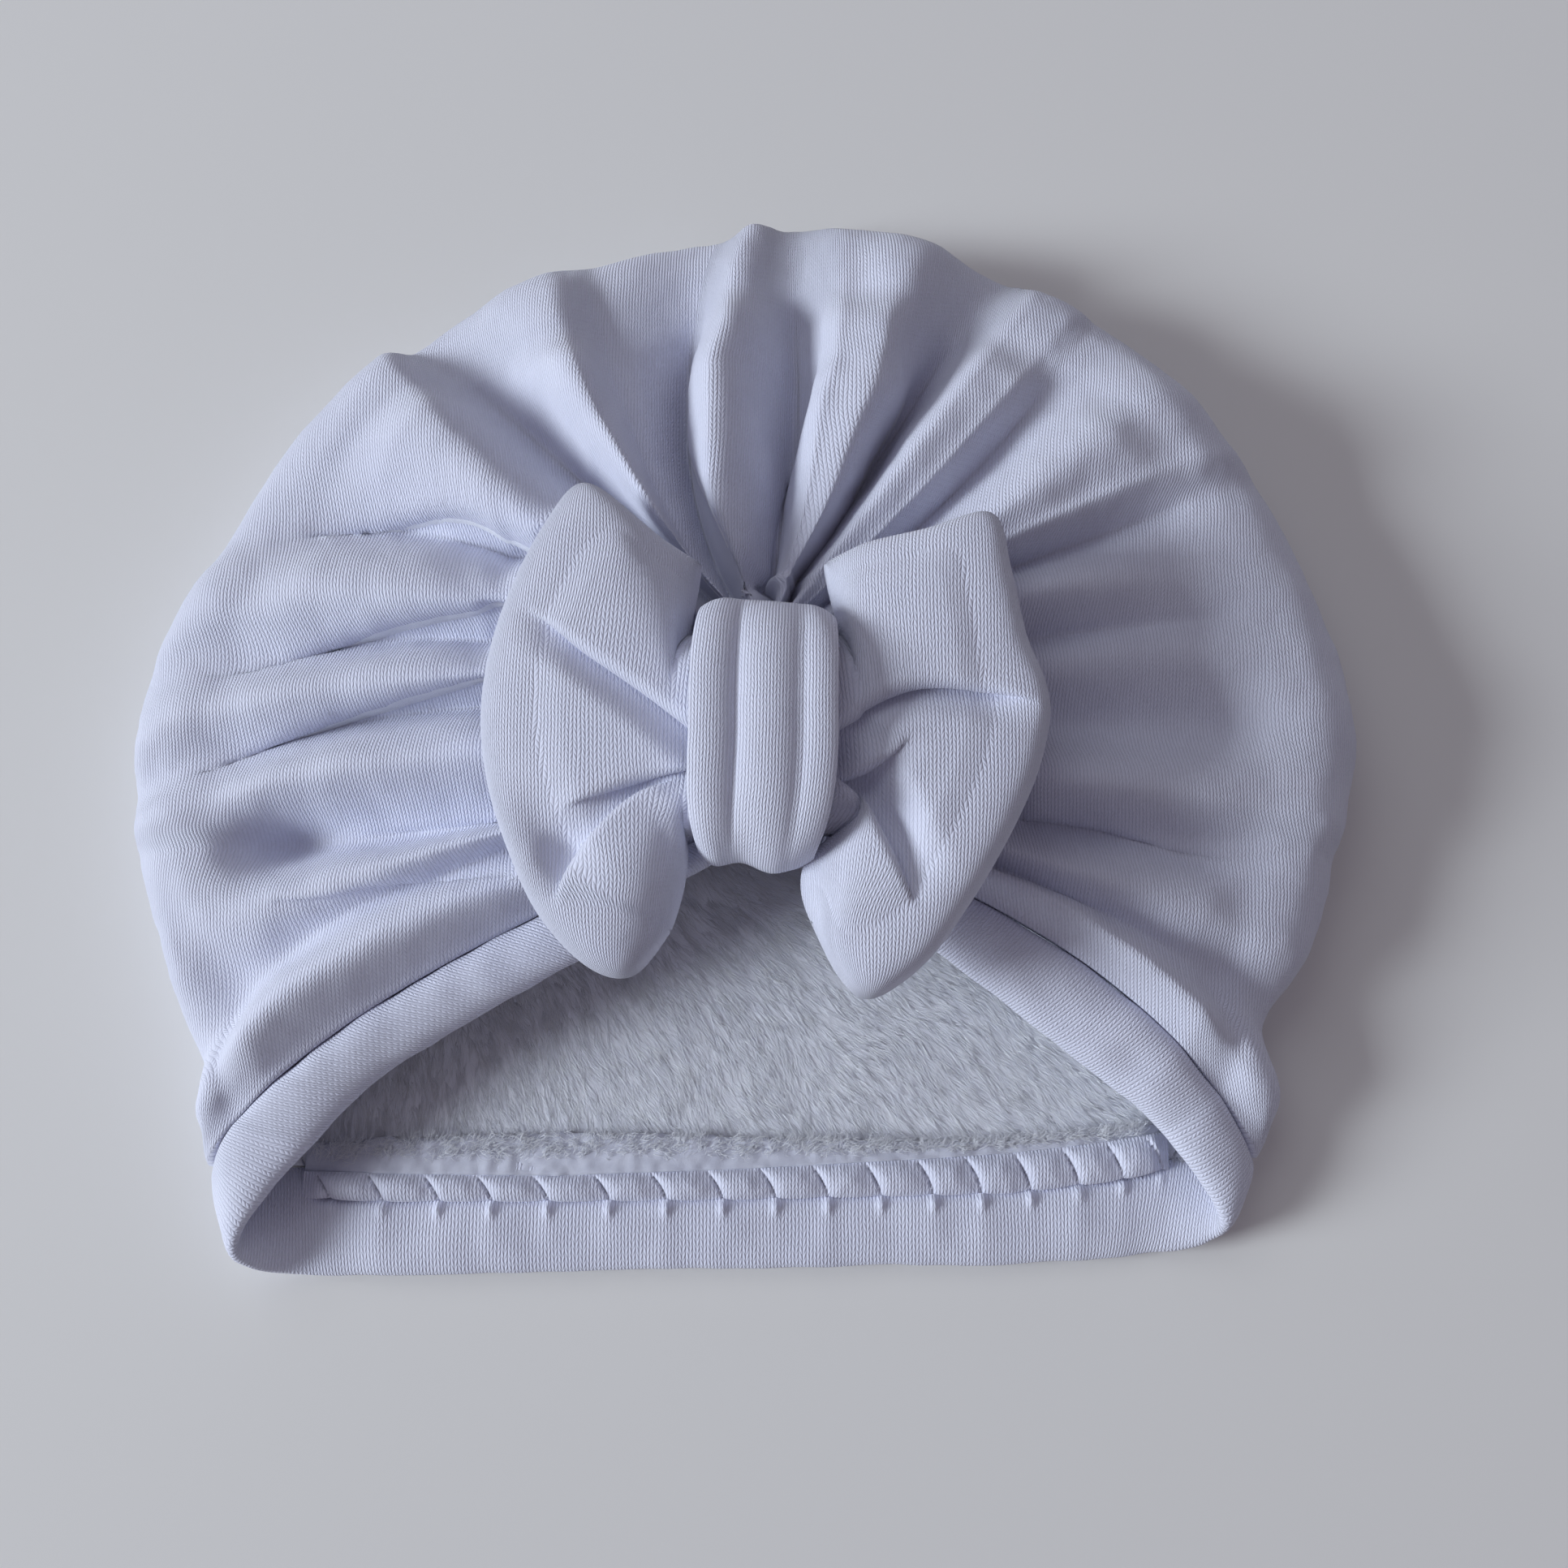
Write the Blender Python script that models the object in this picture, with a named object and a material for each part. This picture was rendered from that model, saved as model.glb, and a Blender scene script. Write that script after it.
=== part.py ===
"""Baby turban cap with a padded bow, lying on its back with the opening towards -Y.

Every wall is a unit slab that a shape function bends into place. The shape functions work in
millimetres and read short tables with one row for each fold, rib or station.
"""

import math
from typing import NamedTuple

import bmesh
import bpy
from mathutils import Vector

MM = 0.001

# Cloth and clearances, in millimetres.
WALL = 2.2
SEAM_GAP = 0.35
MERGE = 1e-6

# Outline of the cap seen from above: a circle that each fold may leave a little.
RIM_RADIUS = 93.0
RIM_CENTRE_Y = -9.0
RIM_SHOULDER = 13.0
RIM_TURN_UNDER = 10.0
UNDER_FOLLOWS_OUT = 0.5
WIDEST_AT = 0.5

# How the rows of the front panel are shared out between its top, shoulder and underside.
TOP_SHARE = 0.62
SHOULDER_SHARE = 0.82
MIDDLE = 0.45
OUTER = 0.73

# Gather line, bow and knot.
KNOT_X = 3.4
KNOT_Y = -8.2
KNOT_TOP_X = 4.0
KNOT_BOTTOM_X = 2.2
KNOT_HALF_WIDTH = 10.0
KNOT_TOP_HALF_WIDTH = 9.2
KNOT_BOTTOM_HALF_WIDTH = 8.0
KNOT_HALF_LENGTH = 18.7
KNOT_HALF_HEIGHT = 10.6
KNOT_MIDDLE_Z = 32.6
KNOT_WALL = 2.2
KNOT_RIB_HEIGHT = 1.5
KNOT_RIBS = 3
WAIST_HALF_RUN = 10.9
WAIST_HALF_LENGTH = 14.2
WAIST_SHARE = 0.24

# Hem, laid flat along the back of the opening.
HEM_BACK_SEAM_Y = -65.5
HEM_ROUNDNESS = 2.6
HEM_SEAM_GAP = 0.6


class FrontFold(NamedTuple):
    """One fold line of the front panel, from the gather line out to the rim."""

    root_x: float
    root_y: float
    mid_x: float
    mid_y: float
    rim_deg: float
    rim_out: float
    root_z: float
    mid_z: float
    outer_z: float
    crest_z: float
    crease: float


class BowFold(NamedTuple):
    """One fold line of the bow, from its waist out to its edge."""

    mid_x: float
    mid_y: float
    tip_x: float
    tip_y: float
    rise_mid: float
    rise_tip: float
    crease: float


class HemStation(NamedTuple):
    """One cross-section of the hem: where its seam lies, and its folded edge."""

    side: str
    along: float
    fold_x: float
    fold_y: float
    fold_z: float
    thick: float


# Columns: root x, y; middle x, y; rim angle, step out of the circle; heights at the root,
# middle, outer part and crest; sharpness of the valley. Clockwise from the lower left corner.
FRONT_FOLDS = (
    FrontFold(3.1, -16.6, -52.0, -44.0, 216.6, 5.4, 17.2, 17.5, 14.5, 11.5, 0.8),
    FrontFold(3.1, -15.0, -54.5, -37.2, 213.3, 3.2, 20.8, 24.5, 21.5, 14.0, 0.0),
    FrontFold(3.1, -13.4, -52.5, -28.7, 208.5, -2.0, 17.5, 18.0, 14.5, 13.0, 0.3),
    FrontFold(3.1, -11.6, -48.0, -23.5, 197.0, -2.4, 20.8, 23.0, 20.0, 17.5, 0.0),
    FrontFold(3.1, -9.6, -47.0, -18.3, 188.5, -0.8, 17.0, 14.8, 12.0, 17.0, 0.2),
    FrontFold(3.1, -7.2, -47.0, -9.5, 185.8, 0.3, 20.8, 24.8, 22.0, 18.5, 0.0),
    FrontFold(3.1, -4.4, -46.5, 0.3, 182.5, 0.6, 17.0, 16.0, 15.0, 15.0, 0.9),
    FrontFold(3.1, -2.0, -46.5, 5.0, 177.5, 0.7, 20.8, 24.2, 21.5, 18.5, 0.0),
    FrontFold(3.1, 0.4, -46.0, 12.6, 172.0, 0.0, 17.0, 16.0, 15.0, 15.0, 0.8),
    FrontFold(3.1, 2.6, -43.5, 18.0, 165.0, -0.9, 20.8, 24.2, 22.0, 18.5, 0.0),
    FrontFold(3.1, 4.8, -43.0, 28.2, 155.5, -2.2, 17.0, 15.0, 14.0, 14.5, 0.9),
    FrontFold(3.1, 6.8, -36.0, 33.5, 131.0, -2.6, 21.2, 24.5, 23.5, 20.0, 0.0),
    FrontFold(3.1, 8.4, -26.3, 39.0, 127.0, -2.7, 17.0, 12.5, 11.0, 12.0, 0.8),
    FrontFold(3.12, 9.3, -18.5, 37.0, 112.0, -3.2, 21.6, 25.5, 24.5, 20.5, 0.0),
    FrontFold(3.18, 9.6, -14.5, 36.5, 105.5, -3.2, 18.0, 17.5, 16.5, 15.5, 0.3),
    FrontFold(3.25, 9.75, -9.0, 42.0, 93.0, -1.2, 16.5, 11.0, 10.5, 12.5, 0.9),
    FrontFold(3.32, 9.85, -4.8, 43.0, 89.2, 0.2, 21.6, 25.0, 23.0, 18.0, 0.0),
    FrontFold(3.40, 9.9, 8.2, 44.0, 86.0, 0.4, 16.5, 11.0, 12.0, 14.5, 0.9),
    FrontFold(3.48, 9.85, 14.4, 44.0, 75.0, 0.8, 21.6, 25.0, 24.0, 21.0, 0.0),
    FrontFold(3.55, 9.75, 19.6, 40.0, 63.2, 0.8, 16.5, 12.0, 11.5, 14.0, 0.9),
    FrontFold(3.62, 9.6, 23.8, 38.4, 60.2, 1.0, 21.6, 24.0, 22.0, 19.0, 0.0),
    FrontFold(3.68, 9.3, 27.8, 36.2, 55.5, 1.0, 17.0, 15.5, 16.5, 17.5, 0.7),
    FrontFold(3.7, 8.0, 40.5, 29.5, 42.0, 0.6, 21.2, 25.0, 25.0, 22.5, 0.0),
    FrontFold(3.7, 6.6, 43.0, 26.5, 33.5, 0.6, 20.5, 23.0, 22.5, 21.0, 0.0),
    FrontFold(3.7, 5.4, 44.5, 23.5, 29.0, 0.6, 17.0, 16.5, 16.5, 18.0, 0.7),
    FrontFold(3.7, 3.2, 46.0, 16.5, 20.0, 0.6, 20.8, 24.5, 19.0, 19.0, 0.0),
    FrontFold(3.7, 1.0, 47.0, 11.0, 14.5, 0.9, 17.5, 17.5, 17.5, 19.0, 0.6),
    FrontFold(3.7, -1.6, 48.0, 6.0, 10.5, 1.1, 20.0, 20.8, 19.0, 19.8, 0.0),
    FrontFold(3.7, -4.4, 48.5, -2.5, 3.5, 1.0, 17.0, 15.5, 16.0, 20.5, 0.1),
    FrontFold(3.7, -7.2, 48.5, -12.0, -5.0, -1.2, 20.8, 24.0, 21.5, 20.0, 0.0),
    FrontFold(3.7, -9.6, 47.0, -17.2, -9.5, -2.4, 17.0, 14.5, 15.0, 16.5, 0.8),
    FrontFold(3.7, -11.6, 48.0, -25.5, -17.5, -3.6, 20.8, 22.0, 20.0, 17.5, 0.0),
    FrontFold(3.7, -13.4, 49.5, -30.0, -26.0, -6.2, 18.5, 18.5, 16.0, 13.5, 0.5),
    FrontFold(3.7, -15.0, 50.5, -34.0, -33.0, 1.4, 20.8, 24.0, 20.0, 14.0, 0.0),
    FrontFold(3.7, -16.6, 49.0, -38.0, -37.0, 2.5, 17.2, 18.0, 15.0, 11.5, 0.8),
)

# Columns: middle x, y; tip x, y; rise over the mid plane at the middle and
# near the tip; sharpness of the crease. From the upper edge down to the lower edge.
BOW_LEFT = (
    BowFold(-7.3, 12.0, -7.4, 19.3, 5.0, 4.0, 0.0),
    BowFold(-12.0, 11.5, -15.5, 24.4, 9.5, 6.5, 0.0),
    BowFold(-16.0, 11.0, -23.2, 27.6, 10.0, 5.5, 0.0),
    BowFold(-17.5, 7.6, -29.8, 18.0, 10.0, 7.0, 0.0),
    BowFold(-17.8, 4.6, -33.0, 12.4, 10.5, 7.5, 0.0),
    BowFold(-18.2, 1.8, -34.3, 9.6, 4.5, 4.5, 0.9),
    BowFold(-20.5, -5.5, -36.2, 0.0, 8.0, 6.5, 0.0),
    BowFold(-21.0, -12.5, -35.2, -12.0, 8.5, 6.0, 0.0),
    BowFold(-20.3, -16.8, -32.6, -22.0, 3.0, 4.0, 0.8),
    BowFold(-19.0, -20.2, -29.6, -29.0, 4.5, 5.5, 0.0),
    BowFold(-15.0, -24.5, -22.0, -38.6, 9.5, 6.0, 0.0),
    BowFold(-11.5, -25.5, -15.5, -41.4, 8.5, 5.5, 0.0),
    BowFold(-8.6, -26.5, -10.6, -38.6, 5.0, 4.0, 0.0),
)
BOW_RIGHT = (
    BowFold(14.2, 10.5, 13.2, 17.2, 6.0, 5.5, 0.0),
    BowFold(19.0, 9.5, 21.5, 20.6, 10.0, 8.0, 0.0),
    BowFold(24.0, 9.0, 34.8, 23.2, 10.0, 6.0, 0.0),
    BowFold(27.0, 4.0, 38.4, 12.0, 9.5, 7.0, 0.0),
    BowFold(26.8, -0.4, 41.8, 1.6, 10.0, 7.0, 0.0),
    BowFold(26.6, -3.2, 42.8, -1.8, 4.0, 4.5, 0.9),
    BowFold(26.0, -9.5, 42.2, -9.0, 8.5, 6.5, 0.0),
    BowFold(25.5, -16.5, 38.2, -19.5, 9.0, 6.5, 0.0),
    BowFold(19.0, -22.0, 28.8, -35.0, 2.5, 6.0, 0.6),
    BowFold(14.8, -27.5, 22.4, -43.2, 9.0, 6.0, 0.0),
    BowFold(12.6, -30.0, 17.0, -43.6, 5.5, 4.5, 0.0),
)
BOW_EDGE_Z = 29.2
BOW_WAIST_Z = KNOT_MIDDLE_Z
BOW_WAIST_RISE = 7.9
BOW_UNDER = 4.6
BOW_EDGE_ROUNDNESS = 7.0
BOW_TIP_ROUNDNESS = 5.0
BOW_LEAST_PLUMP = 0.1

# Columns: side; place along the front panel's edge, or x along the back; folded edge; thickness.
HEM_STATIONS = (
    HemStation("apex", 0.0, 3.4, -21.6, 18.6, 3.4),
    HemStation("left", 0.08, -6.8, -25.2, 19.0, 3.6),
    HemStation("left", 0.20, -21.0, -36.6, 19.0, 4.4),
    HemStation("left", 0.35, -38.0, -45.9, 16.8, 4.6),
    HemStation("left", 0.50, -53.5, -55.4, 13.6, 4.6),
    HemStation("left", 0.64, -64.0, -66.2, 12.6, 4.2),
    HemStation("left", 0.82, -72.6, -77.6, 11.4, 3.6),
    HemStation("left", 0.91, -71.6, -81.8, 8.0, 3.2),
    HemStation("left", 1.00, -64.5, -83.4, 2.2, 3.8),
    HemStation("back", -48.0, -48.0, -83.6, 2.4, 4.6),
    HemStation("back", -16.0, -16.0, -82.7, 2.4, 4.6),
    HemStation("back", 18.0, 18.0, -82.2, 2.4, 4.6),
    HemStation("back", 48.0, 48.0, -81.6, 2.4, 4.6),
    HemStation("right", 1.00, 61.5, -80.2, 2.2, 3.8),
    HemStation("right", 0.91, 68.6, -78.6, 4.6, 3.2),
    HemStation("right", 0.82, 70.2, -75.0, 7.9, 3.6),
    HemStation("right", 0.64, 62.5, -63.9, 10.4, 4.2),
    HemStation("right", 0.50, 52.5, -55.0, 11.6, 4.6),
    HemStation("right", 0.35, 39.0, -44.8, 15.0, 4.6),
    HemStation("right", 0.20, 25.0, -34.2, 17.8, 4.4),
    HemStation("right", 0.08, 13.4, -24.8, 19.0, 3.6),
)
HEM_APEX_SEAM = Vector((KNOT_X, -17.8, 17.6))
HEM_LEFT_END = 8.15
HEM_RIGHT_END = 12.85

# Steps between neighbouring folds or stations, and rows the other way.
FRONT_STEPS = 3
FRONT_ROWS = 13
BACK_ROWS = 2
HEM_STEPS = 3
HEM_SIDES = 12
BOW_COLUMNS = 28
BOW_ROWS = 22
KNOT_COLUMNS = 26
KNOT_ROWS = 9

CLOTH_COLOUR = (0.66, 0.66, 0.77, 1.0)
CLOTH_ROUGHNESS = 0.9


def mix(a, b, t):
    """Straight blend from a to b."""
    return a + (b - a) * t


def fold_blend(t, crease_a, crease_b):
    """Blend between two folds: round at a ridge, and steeper at a sharp valley."""
    soft = 0.5 - 0.5 * math.cos(math.pi * t)
    leaving_a = math.sin(0.5 * math.pi * t)
    reaching_b = 1.0 - math.cos(0.5 * math.pi * t)
    return (
        (1.0 - crease_a) * (1.0 - crease_b) * soft
        + crease_a * (1.0 - crease_b) * leaving_a
        + (1.0 - crease_a) * crease_b * reaching_b
        + crease_a * crease_b * t
    )


def through_three(a, b, c, s):
    """Point at s on the curve through a at 0, b at one half and c at 1."""
    first = (1.0 - s) * (1.0 - 2.0 * s)
    second = 4.0 * s * (1.0 - s)
    third = s * (2.0 * s - 1.0)
    return a * first + b * second + c * third


def hermite(a, b, slope_a, slope_b, t):
    """Cubic from a to b with the given slopes at its ends."""
    t2 = t * t
    t3 = t2 * t
    return (
        a * (2.0 * t3 - 3.0 * t2 + 1.0)
        + slope_a * (t3 - 2.0 * t2 + t)
        + b * (3.0 * t2 - 2.0 * t3)
        + slope_b * (t3 - t2)
    )


def catmull(values, position, closed):
    """Smooth curve through values, read at a place counted in their indices."""
    count = len(values)
    index = math.floor(position)
    t = position - index

    def pick(k):
        return values[k % count] if closed else values[max(0, min(count - 1, k))]

    before, start, end, after = (pick(index + k) for k in (-1, 0, 1, 2))
    return hermite(start, end, (end - before) * 0.5, (after - start) * 0.5, t)


def height_along(stations, heights, s):
    """Smooth height through the stations, level at the last one."""
    slopes = [(heights[1] - heights[0]) / (stations[1] - stations[0])]
    for k in range(1, len(stations) - 1):
        slopes.append((heights[k + 1] - heights[k - 1]) / (stations[k + 1] - stations[k - 1]))
    slopes.append(0.0)
    k = 0
    while k < len(stations) - 2 and s > stations[k + 1]:
        k += 1
    run = stations[k + 1] - stations[k]
    t = (s - stations[k]) / run
    return hermite(heights[k], heights[k + 1], slopes[k] * run, slopes[k + 1] * run, t)


def place_in_table(table, u):
    """The two neighbouring rows at u, and how far u lies between them."""
    position = u * (len(table) - 1)
    index = min(int(position), len(table) - 2)
    return table[index], table[index + 1], position - index


def rim_at(u):
    """Widest point of the cap at u, the level way inwards there, and the turned-under width."""
    a, b, t = place_in_table(FRONT_FOLDS, u)
    angle = math.radians(mix(a.rim_deg, b.rim_deg, t))
    out = mix(a.rim_out, b.rim_out, fold_blend(t, 0.0, 0.0))
    outwards = Vector((math.cos(angle), math.sin(angle), 0.0))
    rim = Vector((0.0, RIM_CENTRE_Y, 0.0)) + outwards * (RIM_RADIUS + out)
    under = RIM_TURN_UNDER + UNDER_FOLLOWS_OUT * out
    if outwards.y < 0.0:
        return rim, Vector((-math.copysign(1.0, outwards.x), 0.0, 0.0)), under
    return rim, -outwards, under


def front_point(u, w, depth):
    """Point of the front panel: u across the folds, w from gathers to seam, depth inwards."""
    a, b, t = place_in_table(FRONT_FOLDS, u)
    near = fold_blend(t, a.crease, b.crease)
    far = fold_blend(t, 0.0, 0.0)
    rim, inwards, under = rim_at(u)
    root = Vector((mix(a.root_x, b.root_x, t), mix(a.root_y, b.root_y, t), 0.0))
    middle = Vector((mix(a.mid_x, b.mid_x, t), mix(a.mid_y, b.mid_y, t), 0.0))
    length = (rim - middle).length + (middle - root).length
    shoulder = 1.0 - RIM_SHOULDER / length
    crest = mix(a.crest_z, b.crest_z, far)
    widest = WIDEST_AT * crest

    if w <= TOP_SHARE:
        s = shoulder * w / TOP_SHARE
        blend = mix(near, far, s)
        heights = [
            mix(a.root_z, b.root_z, blend),
            mix(a.mid_z, b.mid_z, blend),
            mix(a.outer_z, b.outer_z, blend),
            crest,
        ]
        point = through_three(root, middle, rim, s)
        point.z = height_along((0.0, MIDDLE, OUTER, shoulder), heights, s) - depth
        return point

    if w <= SHOULDER_SHARE:
        turn = 0.5 * math.pi * (w - TOP_SHARE) / (SHOULDER_SHARE - TOP_SHARE)
        point = through_three(root, middle, rim, mix(shoulder, 1.0, math.sin(turn)))
        point += inwards * (depth * math.sin(turn))
        point.z = widest + (crest - depth - widest) * math.cos(turn)
        return point

    turn = 0.5 * math.pi * (w - SHOULDER_SHARE) / (1.0 - SHOULDER_SHARE)
    point = rim + inwards * mix(depth, under, 1.0 - math.cos(turn))
    point.z = widest - (widest - depth) * math.sin(turn)
    return point


def front_edge(side, w):
    """Middle of the front panel's wall along its lower left or lower right edge."""
    return front_point(0.0 if side == "left" else 1.0, w, 0.5 * WALL)


def station_seam(station):
    """Where the hem meets the panels at one of its stations."""
    if station.side == "apex":
        return HEM_APEX_SEAM.copy()
    if station.side == "back":
        return Vector((station.along, HEM_BACK_SEAM_Y, 0.5 * station.thick))
    return front_edge(station.side, station.along)


def hem_seam(position):
    """Seam of the hem at a place counted in stations, exact along the front panel's edge."""
    count = len(HEM_STATIONS)
    index = math.floor(position)
    t = position - index
    a = HEM_STATIONS[index % count]
    b = HEM_STATIONS[(index + 1) % count]
    if a.side == b.side and a.side != "back":
        return front_edge(a.side, mix(a.along, b.along, t))
    return catmull([station_seam(station) for station in HEM_STATIONS], position, True)


def hem_fold(position):
    """Folded edge of the hem at a place counted in stations."""
    edges = [Vector((s.fold_x, s.fold_y, s.fold_z)) for s in HEM_STATIONS]
    return catmull(edges, position, True)


def hem_point(u, w):
    """Point of the hem: u round the opening, w round its cross-section."""
    count = len(HEM_STATIONS)
    position = u * count

    def middle(p):
        return (hem_seam(p) + hem_fold(p)) * 0.5

    seam = hem_seam(position)
    fold = hem_fold(position)
    across = (fold - seam).normalized()
    seam = seam + across * HEM_SEAM_GAP
    along = (middle(position + 0.05) - middle(position - 0.05)).normalized()
    normal = along.cross(across).normalized()
    angle = 2.0 * math.pi * w
    power = 2.0 / HEM_ROUNDNESS
    wide = math.copysign(abs(math.cos(angle)) ** power, math.cos(angle))
    thick = math.copysign(abs(math.sin(angle)) ** power, math.sin(angle))
    half_width = 0.5 * (fold - seam).length
    half_thick = 0.5 * catmull([s.thick for s in HEM_STATIONS], position, True)
    point = (seam + fold) * 0.5 + across * (half_width * wide) + normal * (half_thick * thick)
    point.z = max(point.z, 0.0)
    return point


def back_point(u, w, depth):
    """Point of the back panel: u from left to right, w from the hem to the rim seam."""
    start = hem_seam(mix(HEM_LEFT_END, HEM_RIGHT_END, u))
    start.y += SEAM_GAP
    rim, inwards, under = rim_at(u)
    end = rim + inwards * (under + SEAM_GAP)
    point = start.lerp(end, w)
    point.z = WALL - depth
    return point


def bow_side_point(table, side, u, run, upper):
    """Point of one half of the bow: u across its folds, run from waist to tip."""
    a, b, t = place_in_table(table, u)
    near = fold_blend(t, a.crease, b.crease)
    far = fold_blend(t, 0.0, 0.0)
    waist_y = KNOT_Y + WAIST_HALF_LENGTH * (1.0 - 2.0 * u)
    root = Vector((KNOT_X + side * WAIST_HALF_RUN, waist_y, 0.0))
    off_middle = abs(2.0 * u - 1.0)
    waist_edge = (1.0 - off_middle ** HEM_ROUNDNESS) ** (1.0 / HEM_ROUNDNESS)
    loop_edge = (1.0 - off_middle ** BOW_EDGE_ROUNDNESS) ** 0.5
    if run <= WAIST_SHARE:
        s = 0.0
        point = Vector((mix(KNOT_X, root.x, run / WAIST_SHARE), root.y, 0.0))
    else:
        s = (run - WAIST_SHARE) / (1.0 - WAIST_SHARE)
        middle = Vector((mix(a.mid_x, b.mid_x, t), mix(a.mid_y, b.mid_y, t), 0.0))
        tip = Vector((mix(a.tip_x, b.tip_x, t), mix(a.tip_y, b.tip_y, t), 0.0))
        point = through_three(root, middle, tip, math.sin(0.5 * math.pi * s))
    blend = mix(near, far, s)
    rises = [
        BOW_WAIST_RISE,
        mix(a.rise_mid, b.rise_mid, blend),
        mix(a.rise_tip, b.rise_tip, blend),
    ]
    rise = height_along((0.0, 0.5, 1.0), rises, s)
    edge = mix(waist_edge, loop_edge, min(1.0, 3.0 * s))
    rounded = edge * (1.0 - s ** BOW_TIP_ROUNDNESS) ** 0.5
    plump = mix(BOW_LEAST_PLUMP, 1.0, rounded)
    level = mix(BOW_WAIST_Z, BOW_EDGE_Z, min(1.0, 2.0 * s))
    under = mix(BOW_WAIST_RISE, BOW_UNDER, min(1.0, 2.0 * s))
    point.z = level + rise * plump if upper else level - under * plump
    return point


def bow_point(u, w, depth):
    """Point of the bow: w from the left tip through the waist to the right tip."""
    upper = depth == 0.0
    if w < 0.5:
        return bow_side_point(BOW_LEFT, -1.0, u, 1.0 - 2.0 * w, upper)
    return bow_side_point(BOW_RIGHT, 1.0, u, 2.0 * w - 1.0, upper)


def knot_point(u, w, depth):
    """Point of the knot band: u once round the waist, w across the band."""
    angle = 2.0 * math.pi * u
    across = 2.0 * w - 1.0
    power = 2.0 / HEM_ROUNDNESS
    along = math.copysign(abs(math.cos(angle)) ** power, math.cos(angle))
    up = math.copysign(abs(math.sin(angle)) ** power, math.sin(angle))
    on_top = max(0.0, math.sin(angle)) ** 0.5
    rib = KNOT_RIB_HEIGHT * abs(math.cos(0.5 * math.pi * KNOT_RIBS * (across + 1.0) + 0.5 * math.pi))
    raised = 0.0 if depth > 0.0 else rib * on_top
    end_x = KNOT_TOP_X if along > 0.0 else KNOT_BOTTOM_X
    end_half_width = KNOT_TOP_HALF_WIDTH if along > 0.0 else KNOT_BOTTOM_HALF_WIDTH
    centre_x = mix(KNOT_X, end_x, along ** 2)
    half_width = mix(KNOT_HALF_WIDTH, end_half_width, along ** 4)
    half_length = KNOT_HALF_LENGTH - depth
    half_height = KNOT_HALF_HEIGHT - depth + raised
    return Vector((
        centre_x + half_width * across,
        KNOT_Y + half_length * along,
        KNOT_MIDDLE_Z + half_height * up,
    ))


def unit_slab(bm, columns, rows):
    """Box with unit sides, cut into columns by rows cells and one cell thick."""
    bmesh.ops.create_cube(bm, size=1.0)
    for axis, cuts in ((0, columns - 1), (1, rows - 1)):
        edges = [e for e in bm.edges if abs(e.verts[0].co[axis] - e.verts[1].co[axis]) > 0.5]
        bmesh.ops.subdivide_edges(bm, edges=edges, cuts=cuts)


def finish_object(name, bm):
    """Turn a bmesh in metres into a named, smooth, cloth-coloured object."""
    bmesh.ops.triangulate(bm, faces=bm.faces[:], quad_method="SHORT_EDGE")
    mesh = bpy.data.meshes.new(name)
    bm.to_mesh(mesh)
    bm.free()
    mesh.shade_smooth()
    piece = bpy.data.objects.new(name, mesh)
    bpy.context.collection.objects.link(piece)
    mesh.materials.append(cloth_material(name))
    return piece


def bent_slab(name, columns, rows, shape, thickness, ring=False):
    """Bend a slab with a shape function of (u, w, depth); a ring joins u = 0 to u = 1."""
    bm = bmesh.new()
    unit_slab(bm, columns, rows)
    if ring:
        caps = [f for f in bm.faces if abs(f.normal.x) > 0.9]
        bmesh.ops.delete(bm, geom=caps, context="FACES_ONLY")
    for vert in bm.verts:
        depth = 0.0 if vert.co.z > 0.0 else thickness
        vert.co = shape(vert.co.x + 0.5, vert.co.y + 0.5, depth) * MM
    if ring:
        bmesh.ops.remove_doubles(bm, verts=bm.verts[:], dist=MERGE)
    return finish_object(name, bm)


def bent_tube(name, columns, sides, shape):
    """Bend a unit grid with a shape function of (u, w) into a ring-shaped tube."""
    bm = bmesh.new()
    bmesh.ops.create_grid(bm, x_segments=columns, y_segments=sides, size=0.5)
    for vert in bm.verts:
        vert.co = shape(vert.co.x + 0.5, vert.co.y + 0.5) * MM
    bmesh.ops.remove_doubles(bm, verts=bm.verts[:], dist=MERGE)
    bmesh.ops.recalc_face_normals(bm, faces=bm.faces[:])
    return finish_object(name, bm)


def cloth_material(name):
    """White cloth with a faint lavender tone."""
    material = bpy.data.materials.new(name + "_cloth")
    material.use_nodes = True
    shader = material.node_tree.nodes["Principled BSDF"]
    shader.inputs["Base Color"].default_value = CLOTH_COLOUR
    shader.inputs["Roughness"].default_value = CLOTH_ROUGHNESS
    shader.inputs["Metallic"].default_value = 0.0
    return material


def put_on_origin(pieces):
    """Move all pieces so that the middle of the underside of their box is the origin."""
    corners = [vert.co for piece in pieces for vert in piece.data.vertices]
    low = Vector(min(c[k] for c in corners) for k in range(3))
    high = Vector(max(c[k] for c in corners) for k in range(3))
    shift = Vector((-0.5 * (low.x + high.x), -0.5 * (low.y + high.y), -low.z))
    for piece in pieces:
        for vert in piece.data.vertices:
            vert.co += shift


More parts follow.
